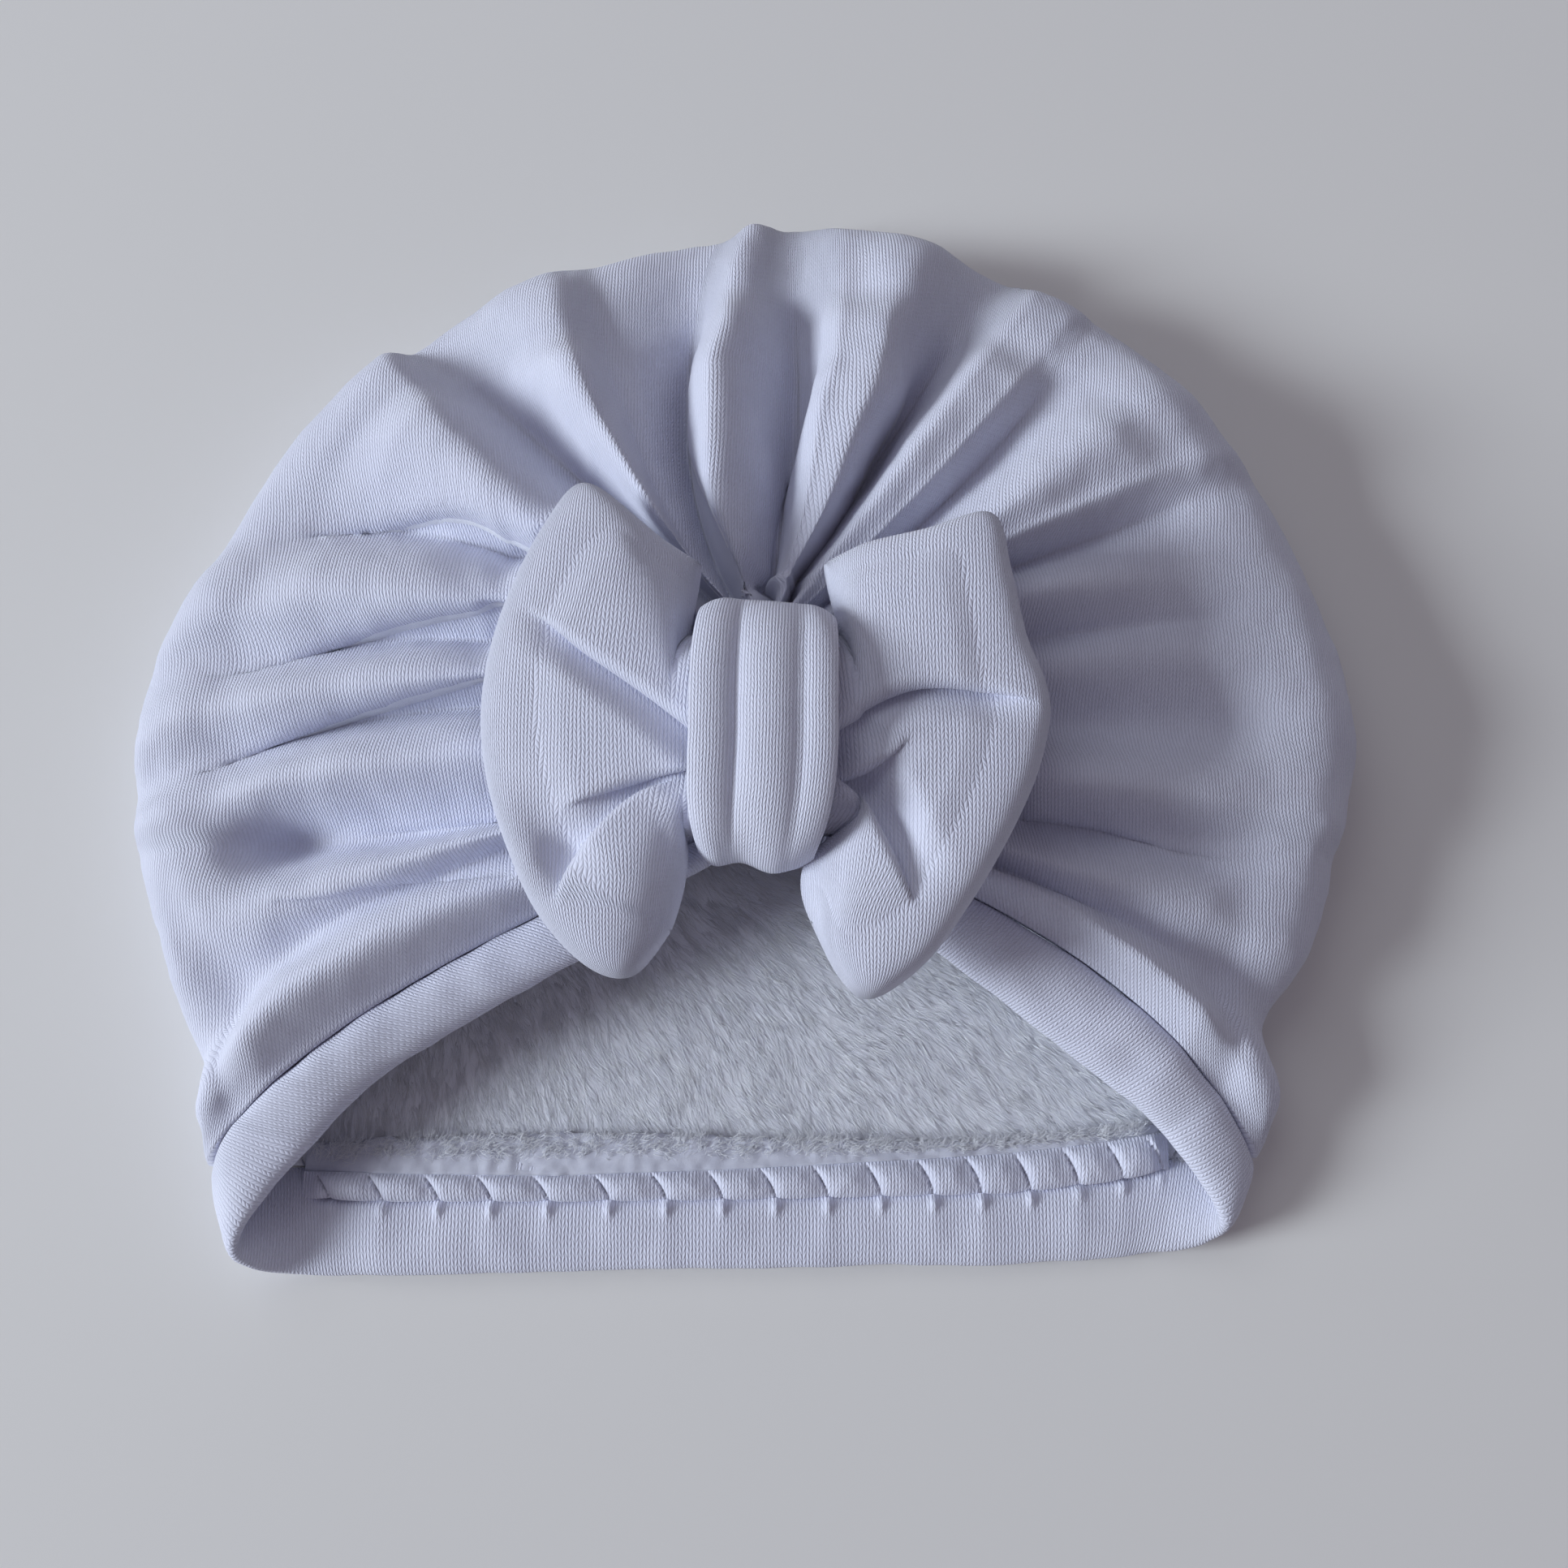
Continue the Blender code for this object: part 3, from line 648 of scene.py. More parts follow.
        seam = self.hem_seam(position)
        fold = self.hem_fold(position)
        across = (fold - seam).normalized()
        seam = seam + across * self.hem_seam_gap
        step = self.hem_look_ahead
        along = (middle(position + step) - middle(position - step)).normalized()
        normal = along.cross(across).normalized()
        half_width = 0.5 * (fold - seam).length
        half_thick = 0.5 * catmull([s.thick for s in HEM_STATIONS], position)
        fine = self.hem_fineness * sides
        ring = np.empty((fine + 1, 3))
        for k in range(fine + 1):
            wide, thick = superellipse(2.0 * math.pi * k / fine, self.hem_fullness)
            offset = across * (half_width * wide) + normal * (half_thick * thick)
            ring[k] = (seam + fold) * 0.5 + offset
        ring[:, 2] = np.maximum(ring[:, 2], 0.0)
        steps = np.linalg.norm(np.diff(ring, axis=0), axis=1)
        run = np.concatenate([[0.0], np.cumsum(steps)])
        even = np.linspace(0.0, run[-1], sides + 1)
        return np.column_stack([np.interp(even, run, ring[:, k]) for k in range(3)])

    def back_point(self, u: float, w: float, depth: float) -> Vector:
        """Point of the back panel.

        Args:
            u: place from left to right, 0 to 1.
            w: place from the hem to the rim seam, 0 to 1.
            depth: how far below the inner face.

        Returns:
            The point in millimetres.
        """
        start = self.hem_seam(mix(self.hem_left_end, self.hem_right_end, u))
        start.y += self.seam_gap
        rim, inwards, under = self.rim_at(u)
        point = start.lerp(rim + inwards * (under + self.seam_gap), w)
        point.z = self.wall - depth
        return point

    def shift_to_frame(self) -> np.ndarray:
        """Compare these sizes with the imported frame.

        Returns:
            The move in millimetres to the frame's own origin.
        """
        columns = self.solid_steps * (len(FRONT_FOLDS) - 1)
        points = sample(lambda u, w: self.front_point(u, w, 0.0), columns, self.solid_rows)
        own = 0.5 * (points.min(axis=(0, 1)) + points.max(axis=(0, 1)))
        low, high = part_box("crown_front")
        return np.array([(low[k] + high[k]) * 0.5 / MM - own[k] for k in (0, 1)] + [0.0])


def sample(shape: Callable[[float, float], Vector], columns: int, rows: int) -> np.ndarray:
    """Read a shape function on an even grid.

    Args:
        shape: gives a point for u and w from 0 to 1.
        columns: cells along u.
        rows: cells along w.

    Returns:
        Points of shape (columns + 1, rows + 1, 3), in millimetres.
    """
    return np.array([
        [tuple(shape(i / columns, j / rows)) for j in range(rows + 1)] for i in range(columns + 1)
    ])


def surface_normals(points: np.ndarray) -> np.ndarray:
    """Unit normals of a grid of points, along the cross product of its u and w ways."""
    normal = np.cross(np.gradient(points, axis=0), np.gradient(points, axis=1))
    return normal / np.maximum(np.linalg.norm(normal, axis=2, keepdims=True), TINY)


def faces(shape: Callable, layers: tuple, columns: int, rows: int) -> list[np.ndarray]:
    """Read a shape function of u, w and a layer once for each of the layers.

    Args:
        shape: gives a point for u, w and the layer.
        layers: the layers, such as two depths.
        columns: cells along u.
        rows: cells along w.

    Returns:
        One grid of points for each layer, in millimetres.
    """
    return [sample(lambda u, w: shape(u, w, layer), columns, rows) for layer in layers]


def ripple(plan: np.ndarray, *waves: Wave) -> np.ndarray:
    """Smooth noise over a grid of two-dimensional places.

    Args:
        plan: places, shape (..., 2), in millimetres.
        waves: the waves that are added up.

    Returns:
        Array of the leading shape of plan.
    """
    total = np.zeros(plan.shape[:-1])
    for wave in waves:
        flat = plan.reshape(-1, 2) / wave.wavelength
        values = [noise.noise(Vector((x, y, wave.seed))) for x, y in flat]
        total += wave.height * np.array(values).reshape(total.shape)
    return total


def from_ends(count: int, cells: float) -> np.ndarray:
    """Ramp up to 1 over some cells from both ends of a row with so many cells."""
    index = np.arange(count + 1)
    return clamp(np.minimum(index, count - index) / cells)


def mean_run(points: np.ndarray, axis: int) -> np.ndarray:
    """Mean length in millimetres from the first row of a grid to each later one."""
    return np.cumsum(np.linalg.norm(np.diff(points, axis=axis), axis=2).mean(axis=1 - axis))


def cloth_lengths(points: np.ndarray, reference_row: int) -> np.ndarray:
    """Cloth coordinates of a folded sheet, in millimetres along the cloth.

    The lengths run true along one reference row and along every column, and keep the way that
    the cloth takes seen from above.

    Args:
        points: grid of points, shape (columns, rows, 3).
        reference_row: index of the row whose length is true.

    Returns:
        Grid of two-dimensional places.
    """
    place = np.zeros(points.shape[:2] + (2,))
    row = points[:, reference_row]
    step = np.diff(row, axis=0)
    flat = np.linalg.norm(step[:, :2], axis=1, keepdims=True)
    true = np.linalg.norm(step, axis=1, keepdims=True)
    place[1:, reference_row] = np.cumsum(step[:, :2] / np.maximum(flat, TINY) * true, axis=0)
    place[:, reference_row] += row[0, :2]
    step = np.diff(points, axis=1)
    flat = np.linalg.norm(step[..., :2], axis=2, keepdims=True)
    true = np.linalg.norm(step, axis=2, keepdims=True)
    way = step[..., :2] / np.maximum(flat, TINY)
    outwards = points[:, -1, :2] - points[:, 0, :2]
    outwards = outwards / np.linalg.norm(outwards, axis=1, keepdims=True)
    turned = (way * outwards[:, None, :]).sum(axis=2, keepdims=True) < LEAST_OUTWARD
    way = np.where(turned, outwards[:, None, :], way)
    stride = way * true
    for j in range(reference_row, points.shape[1] - 1):
        place[:, j + 1] = place[:, j] + stride[:, j]
    for j in range(reference_row, 0, -1):
        place[:, j - 1] = place[:, j] - stride[:, j - 1]
    return place


def smooth_step(share: Value) -> Value:
    """Soft ramp from 0 to 1, level at both ends, and held outside them."""
    t = clamp(share)
    return t * t * (3.0 - 2.0 * t)


def smooth_line(places: Sequence[tuple], cells: int = 8) -> np.ndarray:
    """Draw a smooth open curve through places.

    Args:
        places: its points.
        cells: how many parts lie between two of them.

    Returns:
        The curve's points, shape (n, 2).
    """
    line = [Vector(p) for p in places]
    line = [line[0] * 2.0 - line[1]] + line + [line[-1] * 2.0 - line[-2]]
    curve = []
    for k in range(1, len(line) - 2):
        for cell in range(cells):
            curve.append(catmull(line, k + cell / cells))
    return np.array([tuple(p) for p in curve + [line[-2]]])


def tucked(points: np.ndarray, tucks: Sequence[Tuck], turn_deg: float = 150.0,
           past_end: float = 2.5, ease: float = 2.5) -> np.ndarray:
    """Move of each point that rolls the folds over their neighbours.

    Args:
        points: grid of points, shape (..., 3).
        tucks: the rolled edges.
        turn_deg: how far round an edge rolls under itself.
        past_end: how far past both ends of its line an edge fades out, in millimetres.
        ease: how many lengths of its roll the cloth beyond it takes to lie as it was.

    Returns:
        Array of the shape of points.
    """
    move = np.zeros_like(points)
    turn = math.radians(turn_deg)
    for tuck in tucks:
        line = smooth_line(tuck.line)
        steps = np.linalg.norm(np.diff(line, axis=0), axis=1)
        starts = np.concatenate([[0.0], np.cumsum(steps)])
        away = np.full(points.shape[:-1], np.inf)
        signed = np.zeros_like(away)
        place = np.zeros_like(away)
        normal = np.zeros(points.shape[:-1] + (2,))
        overrun = np.zeros_like(away)
        for k, length in enumerate(steps):
            way = (line[k + 1] - line[k]) / length
            left = np.array([-way[1], way[0]])
            offset = points[..., :2] - line[k]
            run = offset @ way
            along = np.clip(run, 0.0, length)
            before = -run if k == 0 else 0.0
            after = run - length if k == len(steps) - 1 else 0.0
            past = np.maximum(0.0, np.maximum(before, after))
            distance = np.linalg.norm(offset - along[..., None] * way, axis=-1)
            closer = distance < away
            away = np.where(closer, distance, away)
            signed = np.where(closer, np.copysign(distance, offset @ left), signed)
            place = np.where(closer, starts[k] + along, place)
            normal = np.where(closer[..., None], left, normal)
            overrun = np.where(closer, past, overrun)
        share = np.exp(-(overrun / past_end) ** 2)
        if tuck.fade_start:
            share *= smooth_step(place / tuck.fade_start)
        if tuck.fade_end:
            share *= smooth_step((starts[-1] - place) / tuck.fade_end)
        radius = tuck.radius * share
        roll = np.maximum(radius * turn, LEAST_ROLL)
        centre = radius * math.sin(turn)
        angle = turn * (1.0 - clamp(signed / roll))
        rolled = centre - radius * np.sin(angle)
        pulled = np.exp(-np.maximum(signed - roll, 0.0) / (ease * roll))
        beyond = signed - (roll - centre) * pulled
        across = np.where(signed < 0.0, signed, np.where(signed < roll, rolled, beyond))
        deepest = radius * (1.0 - math.cos(turn))
        fall = np.where(signed < 0.0, deepest * (1.0 - smooth_step(-signed / tuck.spread)),
                        radius * (1.0 - np.cos(angle)))
        move[..., :2] += (across - signed)[..., None] * normal
        move[..., 2] -= fall
    return move


def dented(points: np.ndarray, dents: Sequence[Dent]) -> np.ndarray:
    """Add up the dents.

    Args:
        points: grid of points, shape (..., 3).
        dents: the dents.

    Returns:
        Depth at each point, in millimetres.
    """
    total = np.zeros(points.shape[:-1])
    for dent in dents:
        turn = math.radians(dent.turn_deg)
        x = points[..., 0] - dent.x
        y = points[..., 1] - dent.y
        along = (x * math.cos(turn) + y * math.sin(turn)) / dent.long_radius
        across = (y * math.cos(turn) - x * math.sin(turn)) / dent.short_radius
        total += dent.deep * np.exp(-(along ** 2 + across ** 2))
    return total


def hem_line(x: np.ndarray, column: str) -> np.ndarray:
    """One of the hem's lines, smoothly read at each x."""
    places = [row.x for row in HEM_LINES]
    return np.interp(x, places, [getattr(row, column) for row in HEM_LINES])


def place_piece(mesh: bpy.types.Mesh, materials: Sequence[bpy.types.Material]) -> bpy.types.Object:
    """Give a finished mesh its materials and make it a smooth piece that rides on the cap.

    Args:
        mesh: the mesh in metres, which gives the piece its name.
        materials: its materials in the order of their indices.

    Returns:
        The new object, at the origin.
    """
    mesh.shade_smooth()
    for material in materials:
        mesh.materials.append(material)
    piece = bpy.data.objects.new(mesh.name, mesh)
    bpy.context.collection.objects.link(piece)
    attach(piece, "root")
    LOG.info("%s: %d faces", mesh.name, len(mesh.polygons))
    return piece


def add_piece(name: str, bm: bmesh.types.BMesh, materials: Sequence[bpy.types.Material]) -> bpy.types.Object:
    """Turn a bmesh into a piece.

    Args:
        name: plain name of the piece.
        bm: the mesh in metres, freed here.
        materials: its materials in the order of their indices.

    Returns:
        The new object, at the origin.
    """
    mesh = bpy.data.meshes.new(name)
    bm.to_mesh(mesh)
    bm.free()
    return place_piece(mesh, materials)


def add_joined(name: str, points: np.ndarray, triangles: np.ndarray,
               material: bpy.types.Material) -> bpy.types.Object:
    """Make one piece of many small closed shapes that are alike.

    Args:
        name: plain name of the piece.
        points: points in millimetres, shape (shapes, points of one shape, 3).
        triangles: point indices of one shape, shape (n, 3).
        material: the finish.

    Returns:
        The finished piece.
    """
    shapes, corners = points.shape[:2]
    every = (triangles[None] + corners * np.arange(shapes)[:, None, None]).reshape(-1, 3)
    mesh = bpy.data.meshes.new(name)
    mesh.from_pydata((points.reshape(-1, 3) * MM).tolist(), [], every.tolist())
    return place_piece(mesh, (material,))


def lay_on(bm: bmesh.types.BMesh, outer: np.ndarray, inner: np.ndarray, cloth: np.ndarray) -> None:
    """Move the vertices of a unit slab or grid to their places and note their cloth coordinates.

    Args:
        bm: the unit mesh, changed here.
        outer: places in millimetres of the vertices above the middle.
        inner: places in millimetres of all the others.
        cloth: cloth coordinates, in millimetres.
    """
    columns = outer.shape[0] - 1
    rows = outer.shape[1] - 1
    uv = bm.loops.layers.uv.new(UV_NAME)
    places = {}
    for vert in bm.verts:
        i = round((vert.co.x + 0.5) * columns)
        j = round((vert.co.y + 0.5) * rows)
        places[vert] = cloth[i, j]
        vert.co = (outer if vert.co.z > 0.0 else inner)[i, j] * MM
    for face in bm.faces:
        for loop in face.loops:
            loop[uv].uv = places[loop.vert]


def bend_slab(outer: np.ndarray, inner: np.ndarray, cloth: np.ndarray, ring: bool = False,
              inner_material: int = 0) -> bmesh.types.BMesh:
    """Bend a unit cube, cut into a fine slab, so that it fills the space between two grids.

    Args:
        outer: outer face, shape (columns + 1, rows + 1, 3), in millimetres.
        inner: inner face, of the same shape.
        cloth: cloth coordinates of both faces, in millimetres.
        ring: whether the first and last column are one.
        inner_material: material index of the inner face.

    Returns:
        The bent mesh in metres, with its cloth coordinates as a UV map.
    """
    columns = outer.shape[0] - 1
    rows = outer.shape[1] - 1
    bm = bmesh.new()
    bmesh.ops.create_cube(bm, size=1.0)
    for axis, cuts in ((0, columns - 1), (1, rows - 1)):
        edges = [e for e in bm.edges if abs(e.verts[0].co[axis] - e.verts[1].co[axis]) > 0.5]
        bmesh.ops.subdivide_edges(bm, edges=edges, cuts=cuts)
    for face in bm.faces:
        face.material_index = inner_material if face.normal.z < -0.5 else 0
    if ring:
        caps = [f for f in bm.faces if abs(f.normal.x) > 0.9]
        bmesh.ops.delete(bm, geom=caps, context="FACES_ONLY")
    lay_on(bm, outer, inner, cloth)
    if ring:
        bmesh.ops.remove_doubles(bm, verts=bm.verts[:], dist=MERGE)
    return bm


def bend_tube(points: np.ndarray, cloth: np.ndarray) -> bmesh.types.BMesh:
    """Bend a unit grid into a closed ring-shaped tube.

    Args:
        points: shape (columns + 1, sides + 1, 3), in millimetres, closed both ways.
        cloth: cloth coordinates, in millimetres.

    Returns:
        The bent mesh in metres, with its cloth coordinates as a UV map.
    """
    bm = bmesh.new()
    bmesh.ops.create_grid(
        bm, x_segments=points.shape[0] - 1, y_segments=points.shape[1] - 1, size=0.5
    )
    lay_on(bm, points, points, cloth)
    bmesh.ops.remove_doubles(bm, verts=bm.verts[:], dist=MERGE)
    bmesh.ops.recalc_face_normals(bm, faces=bm.faces[:])
    return bm


def math_node(tree: bpy.types.NodeTree, operation: str,
              *values: float | tuple | bpy.types.NodeSocket,
              kind: str = "ShaderNodeMath") -> bpy.types.NodeSocket:
    """Add a math node.

    Args:
        tree: the node tree.
        operation: what the node does.
        values: a number, vector or socket for each input in turn.
        kind: type of the node.

    Returns:
        Its output.
    """
    node = tree.nodes.new(kind)
    node.operation = operation
    for socket, value in zip(node.inputs, values):
        if isinstance(value, bpy.types.NodeSocket):
            tree.links.new(value, socket)
        else:
            socket.default_value = value
    return node.outputs[0]


@dataclass
class NodeGroups:
    """Shader node groups that the finishes share, each built once."""

    wale: float = 1.3
    course: float = 1.0
    waver: float = 0.06
    waver_scale: float = 0.22
    waver_detail: float = 2.0
    waver_reach: float = 6.0
    leg_roundness: float = 0.55
    loop_roundness: float = 0.7
    loop_swell: tuple = (0.55, 0.45)
    # Sharpness of the mask of painted shade in the grooves between the stitches.
    gap_shade_sharpness: float = 2.2
    mottle_size: float = 60.0
    clouds: tuple = (("Tone", 1.0, 4.0), ("Fibre", 22.0, 5.0))
    cloud_roughness: float = 0.6

    def __post_init__(self) -> None:
        """Build the groups."""
        self.knit = self._knit()
        self.mottle = self._mottle()

    @staticmethod
    def _new(name: str, inputs: Sequence[tuple], outputs: Sequence[str]) -> tuple:
        """Empty group with its sockets.

        Args:
            name: name of the group.
            inputs: name, socket type and default value of each input.
            outputs: names of the float outputs.

        Returns:
            The tree, its input node and its output node.
        """
        tree = bpy.data.node_groups.new(name, "ShaderNodeTree")
        for label, kind, value in inputs:
            socket = tree.interface.new_socket(label, in_out="INPUT", socket_type=kind)
            if value is not None:
                socket.default_value = value
        for label in outputs:
            tree.interface.new_socket(label, in_out="OUTPUT", socket_type="NodeSocketFloat")
        return tree, tree.nodes.new("NodeGroupInput"), tree.nodes.new("NodeGroupOutput")

    def _knit(self) -> bpy.types.NodeTree:
        """Plain knit: columns of V-shaped stitches, wavering a little as worn cloth does, with a mask of the
        grooves between them that paints shade into the colour.

        Returns:
            The group's tree.
        """
        tree, given, result = self._new(
            "knit_stitches",
            (
                ("Cloth", "NodeSocketVector", None),
                ("Wale", "NodeSocketFloat", self.wale),
                ("Course", "NodeSocketFloat", self.course),
                ("Waver", "NodeSocketFloat", self.waver),
            ),
            ("Height", "GapShade"),
        )
        link = tree.links.new
        calc = partial(math_node, tree)
        move = partial(math_node, tree, kind="ShaderNodeVectorMath")
        waver = tree.nodes.new("ShaderNodeTexNoise")
        waver.inputs["Scale"].default_value = self.waver_scale
        waver.inputs["Detail"].default_value = self.waver_detail
        link(given.outputs["Cloth"], waver.inputs["Vector"])
        scaled = move("SCALE", move("SUBTRACT", waver.outputs["Color"], (0.5, 0.5, 0.5)))
        reach = calc("MULTIPLY", given.outputs["Waver"], self.waver_reach)
        link(reach, scaled.node.inputs["Scale"])
        parts = tree.nodes.new("ShaderNodeSeparateXYZ")
        link(move("ADD", given.outputs["Cloth"], scaled), parts.inputs[0])
        column = calc("DIVIDE", parts.outputs["X"], given.outputs["Wale"])
        leg = calc("MULTIPLY", calc("PINGPONG", column, 0.5), 2.0)
        across = calc("SINE", calc("MULTIPLY", leg, math.pi))
        row = calc("DIVIDE", parts.outputs["Y"], given.outputs["Course"])
        along = calc("FRACT", calc("SUBTRACT", row, leg))
        loop = calc("SINE", calc("MULTIPLY", along, math.pi))
        round_leg = calc("POWER", calc("MAXIMUM", across, 0.0), self.leg_roundness)
        round_loop = calc("POWER", calc("MAXIMUM", loop, 0.0), self.loop_roundness)
        height = calc("MULTIPLY", round_leg, calc("MULTIPLY_ADD", round_loop, *self.loop_swell))
        link(height, result.inputs["Height"])
        # Painted shade: the mask is strongest in the low grooves between the stitches.
        gap_shade = calc("POWER", calc("SUBTRACT", 1.0, height), self.gap_shade_sharpness)
        link(gap_shade, result.inputs["GapShade"])
        return tree

    def _mottle(self) -> bpy.types.NodeTree:
        """Soft uneven tone of cloth that has been worn and washed.

        Returns:
            The group's tree.
        """
        tree, given, result = self._new(
            "soft_mottle",
            (("Place", "NodeSocketVector", None), ("Size", "NodeSocketFloat", self.mottle_size)),
            ("Tone", "Fibre"),
        )
        for label, fineness, detail in self.clouds:
            cloud = tree.nodes.new("ShaderNodeTexNoise")
            cloud.inputs["Detail"].default_value = detail
            cloud.inputs["Roughness"].default_value = self.cloud_roughness
            tree.links.new(given.outputs["Place"], cloud.inputs["Vector"])
            scale = math_node(tree, "MULTIPLY", given.outputs["Size"], fineness)
            tree.links.new(scale, cloud.inputs["Scale"])
            tree.links.new(cloud.outputs["Fac"], result.inputs[label])
        return tree


@dataclass(frozen=True)
class ClothFinish:
    """What the finishes share: a matt shader, two tones, a mottle, and relief."""

    name: str
    light: tuple
    dark: tuple
    roughness: float
    specular: float
    sheen: float
    size: float
    tone: tuple

    def start(self, groups: NodeGroups) -> tuple:
        """Begin the material.

        Args:
            groups: the shared node groups.

        Returns:
            The material, its shader node and its mottle node.
        """
        material = bpy.data.materials.new(self.name)
        material.use_nodes = True
        tree = material.node_tree
        shader = tree.nodes["Principled BSDF"]
        shader.inputs["Roughness"].default_value = self.roughness
        shader.inputs["Specular IOR Level"].default_value = self.specular
        shader.inputs["Sheen Weight"].default_value = self.sheen
        mottle = tree.nodes.new("ShaderNodeGroup")
        mottle.node_tree = groups.mottle
        mottle.inputs["Size"].default_value = self.size
        return material, shader, mottle

    def paint(self, shader: bpy.types.Node, share: bpy.types.NodeSocket) -> None:
        """Mix the two tones into the shader's colour.

        Args:
            shader: the shader node.
            share: how much of the dark tone shows.
        """
        tree = shader.id_data
        colour = tree.nodes.new("ShaderNodeMix")
        colour.data_type = "RGBA"
        colour.clamp_factor = True
        colour.inputs["A"].default_value = self.light
        colour.inputs["B"].default_value = self.dark
        tree.links.new(share, colour.inputs["Factor"])
        tree.links.new(colour.outputs["Result"], shader.inputs["Base Color"])

    def raise_up(self, shader: bpy.types.Node, height: bpy.types.NodeSocket, depth: float) -> None:
        """Add relief over what the shader has.

        Args:
            shader: the shader node.
            height: the relief, from 0 to 1.
            depth: its height in metres.
        """
        tree = shader.id_data
        bump = tree.nodes.new("ShaderNodeBump")
        bump.inputs["Distance"].default_value = depth
        tree.links.new(height, bump.inputs["Height"])
        for below in list(shader.inputs["Normal"].links):
            tree.links.new(below.from_socket, bump.inputs["Normal"])
        tree.links.new(bump.outputs["Normal"], shader.inputs["Normal"])


@dataclass(frozen=True)
class KnitFinish(ClothFinish):
    """Face side of the jersey: knit stitches under a light fuzz, with shade painted into the grooves between
    the stitches.
    """

    name: str = "jersey_face"
    light: tuple = (0.765, 0.785, 0.93, 1.0)
    dark: tuple = (0.52, 0.535, 0.69, 1.0)
    roughness: float = 0.92
    specular: float = 0.25
    sheen: float = 0.35
    size: float = 90.0
    tone: tuple = (0.5, -0.16)
    # Share and offset of the painted shade in the grooves between the stitches.
    gap_shade: tuple = (0.3, 0.0)
    wale: float = 1.05
    course: float = 0.85
    waver: float = 0.06
    stitch_depth: float = 0.00014
    fibre_depth: float = 0.00006

    def material(self, groups: NodeGroups) -> bpy.types.Material:
        """Build the material.

        Args:
            groups: the shared node groups.

        Returns:
            The material, which reads the cloth UV map and Object coordinates.
        """
        material, shader, mottle = self.start(groups)
        tree = material.node_tree
        calc = partial(math_node, tree)
        cloth = tree.nodes.new("ShaderNodeUVMap")
        cloth.uv_map = UV_NAME
        knit = tree.nodes.new("ShaderNodeGroup")
        knit.node_tree = groups.knit
        for label, value in (("Wale", self.wale), ("Course", self.course), ("Waver", self.waver)):
            knit.inputs[label].default_value = value
        tree.links.new(cloth.outputs["UV"], knit.inputs["Cloth"])
        place = tree.nodes.new("ShaderNodeTexCoord")
        tree.links.new(place.outputs["Object"], mottle.inputs["Place"])
        # Painted shade in the grooves between the stitches, added to the random mottle of the tone.
        gap_shade = calc("MULTIPLY_ADD", knit.outputs["GapShade"], *self.gap_shade)
        tone = calc("MULTIPLY_ADD", mottle.outputs["Tone"], *self.tone)
        self.paint(shader, calc("ADD", gap_shade, tone))
        self.raise_up(shader, knit.outputs["Height"], self.stitch_depth)
        self.raise_up(shader, mottle.outputs["Fibre"], self.fibre_depth)
        return material


@dataclass(frozen=True)
class FleeceFinish(ClothFinish):
    """Fleece side of the jersey and loose fibres: matt, with a soft uneven tone."""

    name: str = "fleece"
    light: tuple = (0.91, 0.93, 1.0, 1.0)
    dark: tuple = (0.80, 0.82, 0.93, 1.0)
    roughness: float = 0.95
    specular: float = 0.2
    sheen: float = 0.4
    size: float = 520.0
    tone: tuple = (1.6, -0.45)
    depth: float = 0.00012
    comb_deg: float = 0.0
    stretch: float = 1.0

    def material(self, groups: NodeGroups) -> bpy.types.Material:
        """Build the material.

        Args:
            groups: the shared node groups.

        Returns:
            The material, which reads Object coordinates.
        """
        material, shader, mottle = self.start(groups)
        tree = material.node_tree
        place = tree.nodes.new("ShaderNodeTexCoord")
        combed = tree.nodes.new("ShaderNodeMapping")
        combed.vector_type = "TEXTURE"
        combed.inputs["Rotation"].default_value = (0.0, 0.0, math.radians(self.comb_deg))
        combed.inputs["Scale"].default_value = (self.stretch, 1.0, 1.0)
        tree.links.new(place.outputs["Object"], combed.inputs["Vector"])
        tree.links.new(combed.outputs["Vector"], mottle.inputs["Place"])
        self.paint(shader, math_node(tree, "MULTIPLY_ADD", mottle.outputs["Tone"], *self.tone))
        self.raise_up(shader, mottle.outputs["Fibre"], self.depth)
        return material


@dataclass
class Dresser:
    """What every sub-assembly needs: the shape, the move to the frame and the finishes."""

    shape: CapShape
    shift: np.ndarray
    knit: bpy.types.Material
    fleece: bpy.types.Material
    strands: bpy.types.Material
    # Darker copy of the fleece finish, with painted shade.
    raw_edge_painted_shade: bpy.types.Material
    thread: bpy.types.Material


